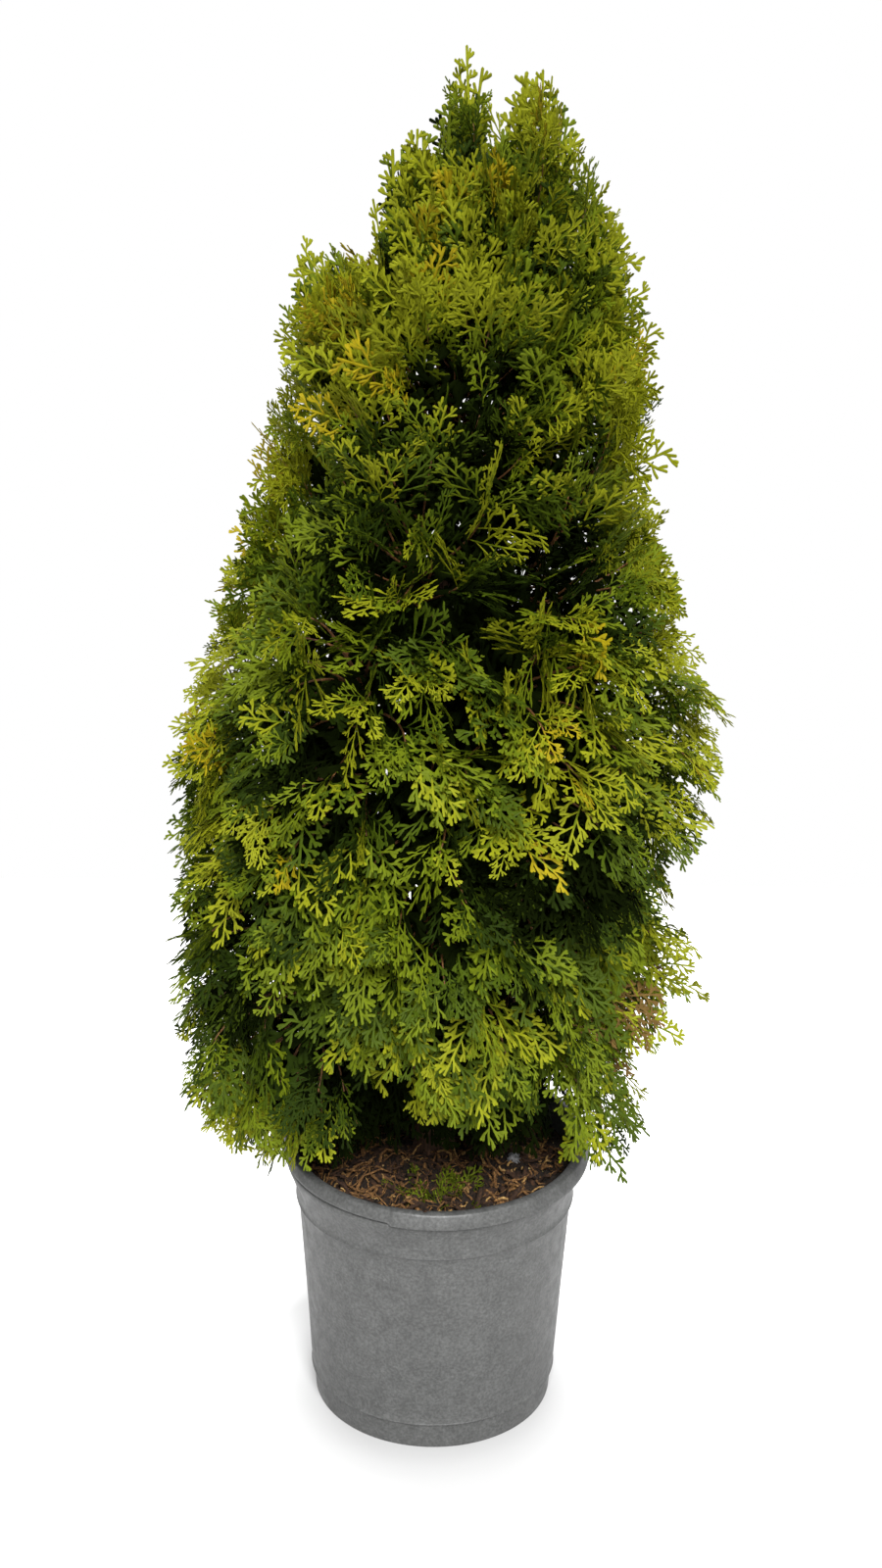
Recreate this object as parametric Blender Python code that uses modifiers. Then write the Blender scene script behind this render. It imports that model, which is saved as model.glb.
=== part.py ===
"""Potted golden thuja: a round nursery pot filled with soil, a trunk with two side leaders and twelve
boughs, and the foliage masses that they carry.

Metres, +Z up, with the origin at the centre of the pot's flat underside. +X is the plant's right side
and -Y its front. Angles round the crown are counted from +X, anticlockwise seen from above.
"""

import math
import random
from itertools import product

import bmesh
import bpy
import numpy as np
from mathutils import Matrix, Vector

# Every gap between two pieces that meet
GAP = 0.0003

# Pot
RIM_RADIUS = 0.150
RIM_TOP = 0.263
RIM_DEPTH = 0.012
BASE_RADIUS = 0.1161
FOOT_HEIGHT = 0.0242
FOOT_STEP = 0.0016
COLLAR_BOTTOM = 0.205
COLLAR_STEP = 0.0037
WALL_TOP_RADIUS = 0.1318
WALL = 0.003
RIM_WARP = 0.0079
POT_STEPS = 36

# Soil
SOIL_TOP = 0.250
SOIL_EDGE = 0.243

# Trunk
TRUNK_RADIUS = 0.0145
TRUNK_FLARE = 1.55
TRUNK_FLARE_FADE = 28.0
TRUNK_TOP = 1.060
TRUNK_TIP_RADIUS = 0.0042
TRUNK_LEAN = 0.010
TRUNK_BOW = 0.006
TRUNK_WANDER = 0.004
TRUNK_FOOT_RISES = (0.012, 0.035, 0.09)
TRUNK_JOINTS = 7
LIMB_SIDES_RESOLUTION = 1

# Leaders: name, mass that each one carries, height of its fork
LEADERS = (("leader_left", "crest_3", 0.60), ("leader_right", "tip_right", 0.66))
LEADER_SHARE = 0.62
LEADER_TIP_RADIUS = 0.0036
LEADER_BOW = -0.03

# Boughs: each forks this far under the centre of the mass that it carries
BOUGH_DROP = 0.085
SHORTEST_LIMB = 0.35
LOWEST_FORK = 0.035
BOUGH_RADII = (0.0068, 0.0040)
BOUGH_BOW = -0.006

# Stem inside a mass: its radii from foot to top
STEM_RADII = (0.0042, 0.0040, 0.0036, 0.0024)
STEM_SHARE = 0.5
STEM_DROP = 0.03

# Crown: a mass is a spheroid that is CROWN_STRETCH times as tall as it is wide
CROWN_STRETCH = 1.9
CROWN_OFFSET = -0.036
CROWN_LEAN = 0.055
CORE_SHARE = 0.42
CORE_SIDE_SHARE = 0.60
CORE_WALL_SHARE = 0.92
FOOT_SHARE = 0.80
TWIG_SHARE = 0.16
SUNK_SHARE = 0.09
TWIG_RADIUS = 0.0045
TWIG_TAPER = 0.8
SPRAY_LIFT = 0.45
LOW_RISE = -0.45
RISE_RANGE = 1.75
SPRAY_LEAN = 35.0
FAN_LENGTHS = (1.0, 0.85, 0.7, 0.55)
FAN_TURNS = (0.0, 35.0, -35.0, 70.0, -70.0)
SPACE_GAP = 0.0012
TIP_ROOM = 0.001
LIMB_ROOM = 0.003
POT_ROOM = 0.006
TRIES_PER_SPRAY = 6
BLADE_THICKNESS = 0.0018
BLADE_TEETH = 2
TOOTH_WIDTH = 0.36
GOLDEN_ANGLE = math.pi * (3.0 - math.sqrt(5.0))
SEED = 12

# Tiers of masses from the rim upwards: name, height of the centres, radius of the ring they stand on,
# radius of one mass, angle of the first, then what each one's height and ring radius differ by
SKIRT_LIFTS = (0.080, 0.010, 0.0, -0.004, 0.105, 0.012)
SKIRT_PUSHES = (0.0, 0.0, 0.0, 0.0, 0.005, -0.036)
BELLY_LIFTS = (0.030, 0.0, 0.0, -0.005, 0.020, 0.010)
BELLY_PUSHES = (0.014, 0.0, 0.0, 0.0, 0.0, 0.0)
TIERS = (
    ("skirt", 0.430, 0.117, 0.122, 30, SKIRT_LIFTS, SKIRT_PUSHES),
    ("belly", 0.605, 0.120, 0.125, 0, BELLY_LIFTS, BELLY_PUSHES),
    ("shoulder", 0.765, 0.085, 0.118, 36, (0.0, 0.020, 0.0, 0.015, 0.0), (0.0, 0.0, 0.0, 0.0, 0.0)),
    ("crest", 0.905, 0.058, 0.101, 0, (-0.010, 0.010, -0.006, -0.010), (0.016, 0.0, 0.012, 0.0)),
)
# Masses at the ends of the trunk and of the right leader: name, centre, radius
TIPS = (
    ("tip_main", (0.012, 0.0, 1.122), 0.061),
    ("tip_right", (0.067, 0.004, 1.050), 0.087),
)
FANS_PER_MASS = {"skirt": 9, "belly": 8, "shoulder": 8, "crest": 8, "tip_main": 9, "tip_right": 10}


def clear_scene():
    """Removes every object that the file opened with."""
    for thing in list(bpy.data.objects):
        bpy.data.objects.remove(thing, do_unlink=True)


def new_collection(name, parent=None):
    """Adds a collection under the parent, or under the scene."""
    made = bpy.data.collections.new(name)
    (parent or bpy.context.scene.collection).children.link(made)
    return made


def material(name, colour, roughness):
    """A Principled BSDF material of one plain colour."""
    made = bpy.data.materials.new(name)
    made.use_nodes = True
    shader = made.node_tree.nodes["Principled BSDF"]
    shader.inputs["Base Color"].default_value = (*colour, 1.0)
    shader.inputs["Roughness"].default_value = roughness
    shader.inputs["Metallic"].default_value = 0.0
    return made


def evaluated_mesh(thing):
    """A copy of the object's mesh with its modifiers, in its own axes."""
    graph = bpy.context.evaluated_depsgraph_get()
    return bpy.data.meshes.new_from_object(thing.evaluated_get(graph), depsgraph=graph)


def turned(name, outline, collection, finish):
    """A closed body of revolution. The outline's (radius, height) points run down the outer side."""
    mesh = bpy.data.meshes.new(name)
    points = [(radius, 0.0, height) for radius, height in outline]
    mesh.from_pydata(points, [(i, i + 1) for i in range(len(points) - 1)], [])
    thing = bpy.data.objects.new(name, mesh)
    collection.objects.link(thing)
    screw = thing.modifiers.new("Turn", "SCREW")
    screw.steps = POT_STEPS
    screw.render_steps = POT_STEPS
    screw.use_merge_vertices = True
    screw.merge_threshold = 0.00005
    thing.data = evaluated_mesh(thing)
    thing.modifiers.clear()
    bpy.data.meshes.remove(mesh)
    thing.data.name = name
    thing.data.materials.clear()
    thing.data.materials.append(finish)
    thing.data.shade_smooth()
    thing.data.set_sharp_from_angle(angle=math.radians(30))
    return thing


def smooth_share(value, low, high):
    """0 below low and 1 above high, with a smooth run between them."""
    share = min(max((value - low) / (high - low), 0.0), 1.0)
    return share * share * (3.0 - 2.0 * share)


def wall_inside(height):
    """Inner radius of the pot's wall at a height under the collar's step."""
    share = (height - FOOT_HEIGHT) / (COLLAR_BOTTOM - FOOT_HEIGHT)
    foot = BASE_RADIUS + 2.0 * FOOT_STEP
    return foot + (WALL_TOP_RADIUS - foot) * share - WALL


def make_pot(collection, finish):
    """The pot: a recessed foot, a conical wall, a wider collar and a rolled rim that dips at the front."""
    collar = WALL_TOP_RADIUS + COLLAR_STEP
    roll = RIM_RADIUS - collar
    outline = (
        (0.0, WALL),
        (wall_inside(WALL), WALL),
        (wall_inside(COLLAR_BOTTOM), COLLAR_BOTTOM),
        (collar - WALL * 0.8, RIM_TOP - RIM_DEPTH),
        (collar + roll * 0.05, RIM_TOP - RIM_DEPTH * 0.12),
        (collar + roll * 0.50, RIM_TOP),
        (RIM_RADIUS - roll * 0.12, RIM_TOP - RIM_DEPTH * 0.22),
        (RIM_RADIUS, RIM_TOP - RIM_DEPTH * 0.75),
        (RIM_RADIUS - roll * 0.18, RIM_TOP - RIM_DEPTH),
        (collar + roll * 0.14, RIM_TOP - RIM_DEPTH),
        (collar, COLLAR_BOTTOM + COLLAR_STEP * 0.4),
        (WALL_TOP_RADIUS, COLLAR_BOTTOM),
        (BASE_RADIUS + 2.0 * FOOT_STEP, FOOT_HEIGHT + FOOT_STEP),
        (BASE_RADIUS + FOOT_STEP, FOOT_HEIGHT),
        (BASE_RADIUS, FOOT_STEP),
        (BASE_RADIUS - FOOT_STEP, 0.0),
        (0.0, 0.0),
    )
    pot = turned("pot", outline, collection, finish)
    for vertex in pot.data.vertices:
        share = smooth_share(vertex.co.z, COLLAR_BOTTOM + 0.01, RIM_TOP - RIM_DEPTH)
        vertex.co.z += RIM_WARP * share * vertex.co.y / RIM_RADIUS
    return pot


def make_soil(collection, finish):
    """The soil: it fills the pot and rises a little towards the trunk, where it is level."""
    side = 2.0 * GAP
    outline = (
        (0.0, SOIL_TOP),
        (TRUNK_RADIUS * 2.2, SOIL_TOP),
        (RIM_RADIUS * 0.45, SOIL_TOP - (SOIL_TOP - SOIL_EDGE) * 0.3),
        (wall_inside(SOIL_EDGE) - side, SOIL_EDGE),
        (wall_inside(COLLAR_BOTTOM) - side, COLLAR_BOTTOM),
        (wall_inside(WALL) - side, WALL + GAP),
        (0.0, WALL + GAP),
    )
    return turned("soil", outline, collection, finish)


def limb(name, path, radii, collection, finish=None, extra=0.0):
    """A tapering limb along a path of points: a curve with a bevel, made a mesh with its caps welded.
    A positive extra widens and lengthens it all round, for a cutter that leaves a gap."""
    path = [Vector(point) for point in path]
    path[0] = path[0] + (path[0] - path[1]).normalized() * extra
    path[-1] = path[-1] + (path[-1] - path[-2]).normalized() * extra
    curve = bpy.data.curves.new(name, "CURVE")
    curve.dimensions = "3D"
    curve.bevel_depth = 1.0
    curve.bevel_resolution = LIMB_SIDES_RESOLUTION
    curve.use_fill_caps = True
    spline = curve.splines.new("POLY")
    spline.points.add(len(path) - 1)
    for knot, point, radius in zip(spline.points, path, radii):
        knot.co = (*point, 1.0)
        knot.radius = radius + extra
    guide = bpy.data.objects.new(name + "_guide", curve)
    collection.objects.link(guide)
    bpy.context.view_layer.update()
    mesh = evaluated_mesh(guide)
    bpy.data.objects.remove(guide, do_unlink=True)
    shape = bmesh.new()
    shape.from_mesh(mesh)
    bmesh.ops.remove_doubles(shape, verts=shape.verts, dist=0.00001)
    bmesh.ops.recalc_face_normals(shape, faces=shape.faces)
    shape.to_mesh(mesh)
    shape.free()
    mesh.name = name
    thing = bpy.data.objects.new(name, mesh)
    collection.objects.link(thing)
    if finish:
        mesh.materials.clear()
        mesh.materials.append(finish)
    return thing


def trunk_point(height):
    """Centre of the trunk at a height: upright in the soil, then a slow bend towards the main tip."""
    share = (height - SOIL_TOP) / (TRUNK_TOP - SOIL_TOP)
    sideways = TRUNK_LEAN * share * share - TRUNK_BOW * math.sin(math.pi * share)
    return Vector((sideways, TRUNK_WANDER * math.sin(5.0 * share), height))


def trunk_radius(height):
    """Radius of the trunk at a height, with the flare of its foot."""
    share = (height - SOIL_TOP) / (TRUNK_TOP - SOIL_TOP)
    plain = TRUNK_RADIUS + (TRUNK_TIP_RADIUS - TRUNK_RADIUS) * share
    return plain * (1.0 + (TRUNK_FLARE - 1.0) * math.exp(-share * TRUNK_FLARE_FADE))


def arched(start, end, rise, count):
    """Points along an arch from start to end, that bows by rise metres at its middle."""
    bow = Vector((0.0, 0.0, rise))
    return [start.lerp(end, i / count) + bow * math.sin(math.pi * i / count) for i in range(count + 1)]


def tapered(first, last, count):
    """Radii that fall evenly from the first to the last."""
    return [first + (last - first) * i / count for i in range(count + 1)]


def bough_end(fork, mass):
    """Where a limb from a fork ends: just inside the dense heart of the mass that it carries."""
    back = np.array(fork) - mass["centre"]
    distance = np.linalg.norm(back)
    back /= distance
    inside = min(core_reach(back, mass) * FOOT_SHARE, distance * (1.0 - SHORTEST_LIMB))
    return Vector(mass["centre"] + back * inside)


def limb_plans(masses):
    """Path and radii of every limb: the trunk, the two leaders, and a bough for each low mass."""
    heights = [SOIL_TOP + GAP, *(SOIL_TOP + rise for rise in TRUNK_FOOT_RISES)]
    step = (TRUNK_TOP - heights[-1]) / TRUNK_JOINTS
    heights += [heights[-1] + step * (i + 1) for i in range(TRUNK_JOINTS)]
    path = [trunk_point(height) for height in heights]
    path[0].xy = path[1].xy
    plans = {"trunk": (path, [trunk_radius(height) for height in heights])}
    for name, carried, height in LEADERS:
        fork = trunk_point(height)
        path = arched(fork, bough_end(fork, masses[carried]), LEADER_BOW, 5)
        plans[name] = (path, tapered(trunk_radius(height) * LEADER_SHARE, LEADER_TIP_RADIUS, 5))
    for name, mass in masses.items():
        if name.startswith(("skirt", "belly")):
            fork = trunk_point(max(mass["centre"][2] - BOUGH_DROP, SOIL_TOP + LOWEST_FORK))
            path = arched(fork, bough_end(fork, mass), BOUGH_BOW, 3)
            plans["bough_" + name] = (path, tapered(*BOUGH_RADII, 3))
    return plans


def crown_axis(height):
    """Middle of the crown at a height: it stands left of the trunk low down and right of it at the top."""
    return Vector((CROWN_OFFSET + CROWN_LEAN * height, 0.0, height))


def plan_masses():
    """Name, centre and radius of each foliage mass, tier by tier."""
    masses = {}
    for name, height, ring, radius, first, lifts, pushes in TIERS:
        for i, (lift, push) in enumerate(zip(lifts, pushes)):
            angle = math.radians(first) + 2.0 * math.pi * i / len(lifts)
            around = Vector((math.cos(angle), math.sin(angle), 0.0))
            centre = crown_axis(height + lift) + around * (ring + push)
            masses[f"{name}_{i + 1}"] = {"centre": np.array(centre), "radius": radius, "tier": name}
    for name, centre, radius in TIPS:
        masses[name] = {"centre": np.array(centre), "radius": radius, "tier": name}
    return masses


def squeezed(points):
    """Points in the space where every mass is a sphere."""
    return points / np.array([1.0, 1.0, CROWN_STRETCH])


def shared_planes(name, masses):
    """Unit normals and offsets of the planes that part a mass from its neighbours, positive inside it."""
    own = masses[name]
    centre = squeezed(own["centre"])
    normals, offsets = [], []
    for other_name, other in masses.items():
        if other_name == name:
            continue
        other_centre = squeezed(other["centre"])
        normal = 2.0 * (centre - other_centre) / np.array([1.0, 1.0, CROWN_STRETCH])
        offset = other_centre @ other_centre - centre @ centre - other["radius"] ** 2 + own["radius"] ** 2
        length = np.linalg.norm(normal)
        normals.append(normal / length)
        offsets.append(offset / length)
    return np.array(normals), np.array(offsets)


def reaches(direction, mass):
    """Distances from a mass's centre to the end of its spheroid, and to the nearest wall to a neighbour."""
    end = mass["radius"] / np.linalg.norm(squeezed(direction))
    normals, offsets = mass["planes"]
    depth = normals @ mass["centre"] + offsets - SPACE_GAP
    closing = -(normals @ direction)
    wall = np.where(closing > 1e-6, depth / np.maximum(closing, 1e-6), np.inf).min()
    return end, wall


def core_reach(direction, mass):
    """Distance from a mass's centre to the skin of its dense heart, which is wider towards a neighbour."""
    end, wall = reaches(direction, mass)
    return end * CORE_SHARE if wall > end else min(wall * CORE_WALL_SHARE, end * CORE_SIDE_SHARE)


def keeps_to_space(points, mass):
    """Whether all points lie inside a mass's own space, and clear of the pot and the soil."""
    normals, offsets = mass["planes"]
    inside = np.linalg.norm(squeezed(points - mass["centre"]), axis=1) <= mass["radius"] * 1.004
    apart = (points @ normals.T + offsets >= SPACE_GAP).all()
    over_pot = np.linalg.norm(points[:, :2], axis=1) < RIM_RADIUS + POT_ROOM
    return bool(inside.all() and apart and (points[over_pot, 2] > RIM_TOP + RIM_WARP + POT_ROOM).all())


def clear_of_limbs(points, plans):
    """Whether all points lie clear of every limb."""
    for path, radii in plans.values():
        for start, end, radius in zip(path, path[1:], radii):
            start, along = np.array(start), np.array(end - start)
            share = np.clip((points - start) @ along / (along @ along), 0.0, 1.0)
            gap = np.linalg.norm(points - start - share[:, None] * along, axis=1)
            if gap.min() < radius + LIMB_ROOM:
                return False
    return True


def fan_outline():
    """Outline of a flat spray of unit length: a stalk, then toothed sides that narrow to one tip."""
    side = [(0.0, 0.013)]
    for i in range(BLADE_TEETH):
        root = 0.28 + 0.26 * i
        side.append((root + 0.24, TOOTH_WIDTH - 0.10 * i))
        side.append((root + 0.17, 0.085))
    return side + [(1.0, 0.0)] + [(u, -v) for u, v in reversed(side)]


def make_fan_mesh():
    """One flat spray of unit length and thickness: a filled 2D curve with an extrusion."""
    curve = bpy.data.curves.new("fan", "CURVE")
    curve.dimensions = "2D"
    curve.fill_mode = "BOTH"
    curve.extrude = 0.5
    outline = fan_outline()
    spline = curve.splines.new("POLY")
    spline.use_cyclic_u = True
    spline.points.add(len(outline) - 1)
    for knot, (u, v) in zip(spline.points, outline):
        knot.co = (u, v, 0.0, 1.0)
    guide = bpy.data.objects.new("fan_guide", curve)
    bpy.context.scene.collection.objects.link(guide)
    bpy.context.view_layer.update()
    mesh = evaluated_mesh(guide)
    bpy.data.objects.remove(guide, do_unlink=True)
    shape = bmesh.new()
    shape.from_mesh(mesh)
    bmesh.ops.remove_doubles(shape, verts=shape.verts, dist=0.00001)
    bmesh.ops.recalc_face_normals(shape, faces=shape.faces)
    shape.to_mesh(mesh)
    shape.free()
    return mesh


def make_twig_mesh():
    """A three-sided tapering twig of unit length along +X."""
    mesh = bpy.data.meshes.new("twig")
    shape = bmesh.new()
    turn = Matrix.Rotation(math.radians(90), 4, "Y") @ Matrix.Translation((0.0, 0.0, 0.5))
    bmesh.ops.create_cone(
        shape,
        cap_ends=True,
        segments=3,
        radius1=TWIG_RADIUS,
        radius2=TWIG_RADIUS * TWIG_TAPER,
        depth=1.0,
        matrix=turn,
    )
    shape.to_mesh(mesh)
    shape.free()
    return mesh


def placed(name, mesh, foot, axes, collection):
    """An object of a mesh with its foot and its three scaled axes given."""
    thing = bpy.data.objects.new(name, mesh)
    columns = [*axes, foot]
    thing.matrix_world = Matrix([[column[row] for column in columns] for row in range(3)] + [[0, 0, 0, 1]])
    collection.objects.link(thing)


def rise_at(height):
    """How far sprays turn upwards at a height: they hang a little low down and stand up at the top."""
    return LOW_RISE + RISE_RANGE * smooth_share(height, 0.30, 1.10)


def spray_directions(mass, count):
    """Unit directions from a mass's centre: straight out of the crown, up at a tip, then all round."""
    outward = mass["centre"] - np.array(crown_axis(mass["centre"][2]))
    yield outward / np.linalg.norm(outward)
    if mass["tier"].startswith("tip"):
        yield np.array([0.0, 0.0, 1.0])
    for i in range(count):
        up = 1.0 - 2.0 * (i + 0.5) / count
        angle = i * GOLDEN_ANGLE
        level = math.sqrt(1.0 - up * up)
        direction = np.array([level * math.cos(angle), level * math.sin(angle), up * CROWN_STRETCH])
        yield direction / np.linalg.norm(direction)


def fan_frames(mass, plans, count, dice):
    """Foot, axes and length of each spray of a mass. Their tips follow the golden angle over the open side
    of its space, and their feet lie in its heart, lower where sprays grow upwards. A spray whose outline
    would leave the space or touch a limb turns, then stays shorter, and is skipped at last."""
    outline = np.array(fan_outline())
    rise = np.array([0.0, 0.0, rise_at(mass["centre"][2])])
    frames = []
    for direction in spray_directions(mass, count * TRIES_PER_SPRAY):
        end, wall = reaches(direction, mass)
        if wall < end:
            continue
        back = direction - rise * SPRAY_LIFT
        back /= np.linalg.norm(back)
        foot = mass["centre"] + back * core_reach(back, mass) * FOOT_SHARE
        along = mass["centre"] + direction * (end - TIP_ROOM) - foot
        along_length = np.linalg.norm(along)
        along /= along_length
        sideways = np.cross(along, [0.0, 0.0, 1.0]) + 1e-6
        sideways /= np.linalg.norm(sideways)
        flat = np.cross(sideways, along)
        lean = dice.uniform(-SPRAY_LEAN, SPRAY_LEAN)
        for length, turn in product(FAN_LENGTHS, FAN_TURNS):
            size = along_length * length / (1.0 + TWIG_SHARE - SUNK_SHARE)
            twist = math.radians(lean + turn)
            across = flat * math.cos(twist) + sideways * math.sin(twist)
            start = foot + along * size * (TWIG_SHARE - SUNK_SHARE)
            points = start + outline[:, :1] * size * along + outline[:, 1:] * size * across
            if keeps_to_space(points, mass) and clear_of_limbs(points, plans):
                frames.append((foot, along, across, np.cross(along, across), size))
                break
    later = np.linspace(2, len(frames) - 1, min(count, len(frames)) - 2).round().astype(int)
    return frames[:2] + [frames[i] for i in later]


def make_core(name, mass, collection):
    """The dense heart of a mass: a ball whose points are pushed out to its skin."""
    mesh = bpy.data.meshes.new(name)
    shape = bmesh.new()
    bmesh.ops.create_icosphere(shape, subdivisions=2, radius=1.0)
    for vertex in shape.verts:
        direction = np.array(vertex.co)
        direction[2] *= CROWN_STRETCH
        direction /= np.linalg.norm(direction)
        vertex.co = mass["centre"] + direction * core_reach(direction, mass)
    shape.to_mesh(mesh)
    shape.free()
    thing = bpy.data.objects.new(name, mesh)
    collection.objects.link(thing)
    return thing


def carrier_point(name, mass, plans):
    """Where the stem of a mass starts: inside its bough's tip, or on the nearest point of the trunk."""
    bough = plans.get("bough_" + name)
    if bough:
        return bough[0][-1]
    for leader, carried, _ in LEADERS:
        if name == carried:
            return plans[leader][0][-1]
    return trunk_point(min(mass["centre"][2] - STEM_DROP, TRUNK_TOP))


def keep_largest_body(mesh):
    """Drops the loose scraps and sealed hollows that a union leaves."""
    shape = bmesh.new()
    shape.from_mesh(mesh)
    bmesh.ops.remove_doubles(shape, verts=shape.verts, dist=0.000002)
    left = set(shape.faces)
    bodies = []
    while left:
        body, edge_of_search = set(), [left.pop()]
        while edge_of_search:
            face = edge_of_search.pop()
            body.add(face)
            for edge in face.edges:
                for neighbour in edge.link_faces:
                    if neighbour in left:
                        left.discard(neighbour)
                        edge_of_search.append(neighbour)
        bodies.append(body)
    largest = max(bodies, key=len)
    scraps = [face for body in bodies if body is not largest for face in body]
    bmesh.ops.delete(shape, geom=scraps, context="FACES")
    bmesh.ops.triangulate(shape, faces=shape.faces)
    shape.to_mesh(mesh)
    shape.free()


def boolean(thing, operation, operands):
    """Applies one Boolean with every object of a collection."""
    modifier = thing.modifiers.new(operation, "BOOLEAN")
    modifier.operation = operation
    modifier.operand_type = "COLLECTION"
    modifier.collection = operands
    modifier.solver = "MANIFOLD"
    bpy.context.view_layer.update()
    old = thing.data
    thing.data = evaluated_mesh(thing)
    thing.modifiers.clear()
    bpy.data.meshes.remove(old)


def make_mass(name, mass, plans, fan_mesh, twig_mesh, cutters, collection, finish, dice):
    """A foliage mass: a stem from its carrier, a dense core, and twigs that each end in a flat spray."""
    parts = new_collection(name + "_parts")
    centre = Vector(mass["centre"])
    start = carrier_point(name, mass, plans)
    stem_end = centre + Vector((0.0, 0.0, mass["radius"] * STEM_SHARE))
    limb(name + "_stem", [start, start.lerp(centre, 0.5), centre, stem_end], STEM_RADII, parts)
    count = FANS_PER_MASS[mass["tier"]]
    for i, (foot, along, across, normal, size) in enumerate(fan_frames(mass, plans, count, dice)):
        axes = (along * size, across * size, normal * BLADE_THICKNESS)
        placed(f"{name}_fan_{i}", fan_mesh, foot + along * size * (TWIG_SHARE - SUNK_SHARE), axes, parts)
        twig_foot = np.array(centre.lerp(stem_end, dice.random()))
        twig_end = foot + along * size * TWIG_SHARE
        axes = (twig_end - twig_foot, across, normal)
        placed(f"{name}_twig_{i}", twig_mesh, twig_foot, axes, parts)
    thing = make_core(name, mass, collection)
    boolean(thing, "UNION", parts)
    for helper in list(parts.objects):
        bpy.data.objects.remove(helper, do_unlink=True)
    bpy.data.collections.remove(parts)
    boolean(thing, "DIFFERENCE", cutters)
    keep_largest_body(thing.data)
    thing.data.name = name
    thing.data.materials.clear()
    thing.data.materials.append(finish)
    return thing


def main():
    clear_scene()
    plant = new_collection("potted_thuja")
    cutters = new_collection("limb_clearance")
    plastic = material("pot_plastic", (0.18, 0.185, 0.19), 0.55)
    earth = material("soil", (0.035, 0.022, 0.014), 0.95)
    bark = material("bark", (0.13, 0.070, 0.038), 0.85)
    foliage = material("foliage", (0.16, 0.24, 0.025), 0.6)
    make_pot(plant, plastic)
    make_soil(plant, earth)
    masses = plan_masses()
    for name in masses:
        masses[name]["planes"] = shared_planes(name, masses)
    plans = limb_plans(masses)
    for name, (path, radii) in plans.items():
        grown = limb(name, path, radii, plant, bark)
        if cutters.objects:
            boolean(grown, "DIFFERENCE", cutters)
            keep_largest_body(grown.data)
        cutter = limb(name + "_clearance", path, radii, cutters, extra=GAP * 1.1)
        cutter.hide_render = True
        cutter.display_type = "WIRE"
    dice = random.Random(SEED)
    fan_mesh = make_fan_mesh()
    twig_mesh = make_twig_mesh()
    for name, mass in masses.items():
        make_mass(name, mass, plans, fan_mesh, twig_mesh, cutters, plant, foliage, dice)
    bpy.data.meshes.remove(fan_mesh)
    bpy.data.meshes.remove(twig_mesh)


main()
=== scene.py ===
"""Potted golden thuja: its fine foliage, bark, pot and soil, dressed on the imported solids.

Metres, +Z up, the origin at the centre of the pot's flat underside, +X the plant's right and -Y its front.
The crown follows the same rule as the solids: spheroid masses that share the crown between them, each
filled here with shoots that carry flat sprays of forked branchlets.
"""

import logging
import math
from dataclasses import astuple, dataclass, field, fields, replace
from enum import Enum

import bpy
import numpy as np
from mathutils import Matrix

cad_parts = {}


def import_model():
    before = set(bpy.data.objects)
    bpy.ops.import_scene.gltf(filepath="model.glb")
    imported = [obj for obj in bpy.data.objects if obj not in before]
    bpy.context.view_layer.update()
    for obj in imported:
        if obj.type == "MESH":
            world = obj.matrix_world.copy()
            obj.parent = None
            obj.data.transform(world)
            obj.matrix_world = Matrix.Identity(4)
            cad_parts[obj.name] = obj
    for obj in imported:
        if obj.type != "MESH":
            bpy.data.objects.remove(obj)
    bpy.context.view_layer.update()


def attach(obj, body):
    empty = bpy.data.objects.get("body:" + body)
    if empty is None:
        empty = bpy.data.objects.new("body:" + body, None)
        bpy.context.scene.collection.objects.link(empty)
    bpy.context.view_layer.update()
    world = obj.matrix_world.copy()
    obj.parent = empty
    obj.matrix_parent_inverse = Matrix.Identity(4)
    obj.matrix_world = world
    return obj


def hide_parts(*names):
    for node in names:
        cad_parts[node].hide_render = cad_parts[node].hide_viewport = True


Array = np.ndarray
Dice = np.random.Generator
Socket = bpy.types.NodeSocket
LOG = logging.getLogger("potted_thuja")
GOLDEN_ANGLE = math.pi * (3.0 - math.sqrt(5.0))
MOST_TRIANGLES = 190_000
BODY = "root"
TURN = 2.0 * math.pi
UP = np.array([0.0, 0.0, 1.0])
PER_METRE = 1000.0
WHITE = (1.0, 1.0, 1.0, 1.0)
STRIP_TRIANGLES = 8
STEEP = 0.75
WAVES = 6
WAVE_SCALES = (0.6, 1.5)
WAVE_GAIN = 1.8


# ------------ arrays and meshes


def unit(vectors: Array) -> Array:
    """Vectors, along the last axis, divided by their lengths."""
    return vectors / np.maximum(np.linalg.norm(vectors, axis=-1, keepdims=True), 1e-12)


def across(vectors: Array, axes: Array) -> Array:
    """Unit vectors along the parts of vectors that lie square to unit axes."""
    return unit(vectors - (vectors * axes).sum(axis=-1, keepdims=True) * axes)


def smooth_share(values: Array, low: float, high: float) -> Array:
    """Share from 0 below low to 1 above high, with a smooth run between: 3 s^2 - 2 s^3 of the straight share s."""
    share = np.clip((values - low) / (high - low), 0.0, 1.0)
    return share * share * (3.0 - 2.0 * share)


def ripple(points: Array, scale: float, seed: int) -> Array:
    """Smooth irregular values about 0 at points: the mean of a few sine waves that run in seeded directions.

    Args:
        points: array of x, y, z in its last axis.
        scale: waves per metre.
        seed: picks the directions and phases.

    Returns:
        One value per point, mostly between -1 and 1.
    """
    dice = np.random.default_rng(seed)
    waves = unit(dice.normal(size=(WAVES, 3))) * dice.uniform(*WAVE_SCALES, (WAVES, 1)) * scale * TURN
    phases = dice.uniform(0.0, TURN, WAVES)
    return np.sin(points @ waves.T + phases).mean(axis=-1) * WAVE_GAIN


def level_ring(angles: Array) -> Array:
    """Level unit vectors at angles from +X."""
    return np.stack([np.cos(angles), np.sin(angles), 0.0 * angles], axis=-1)


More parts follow.
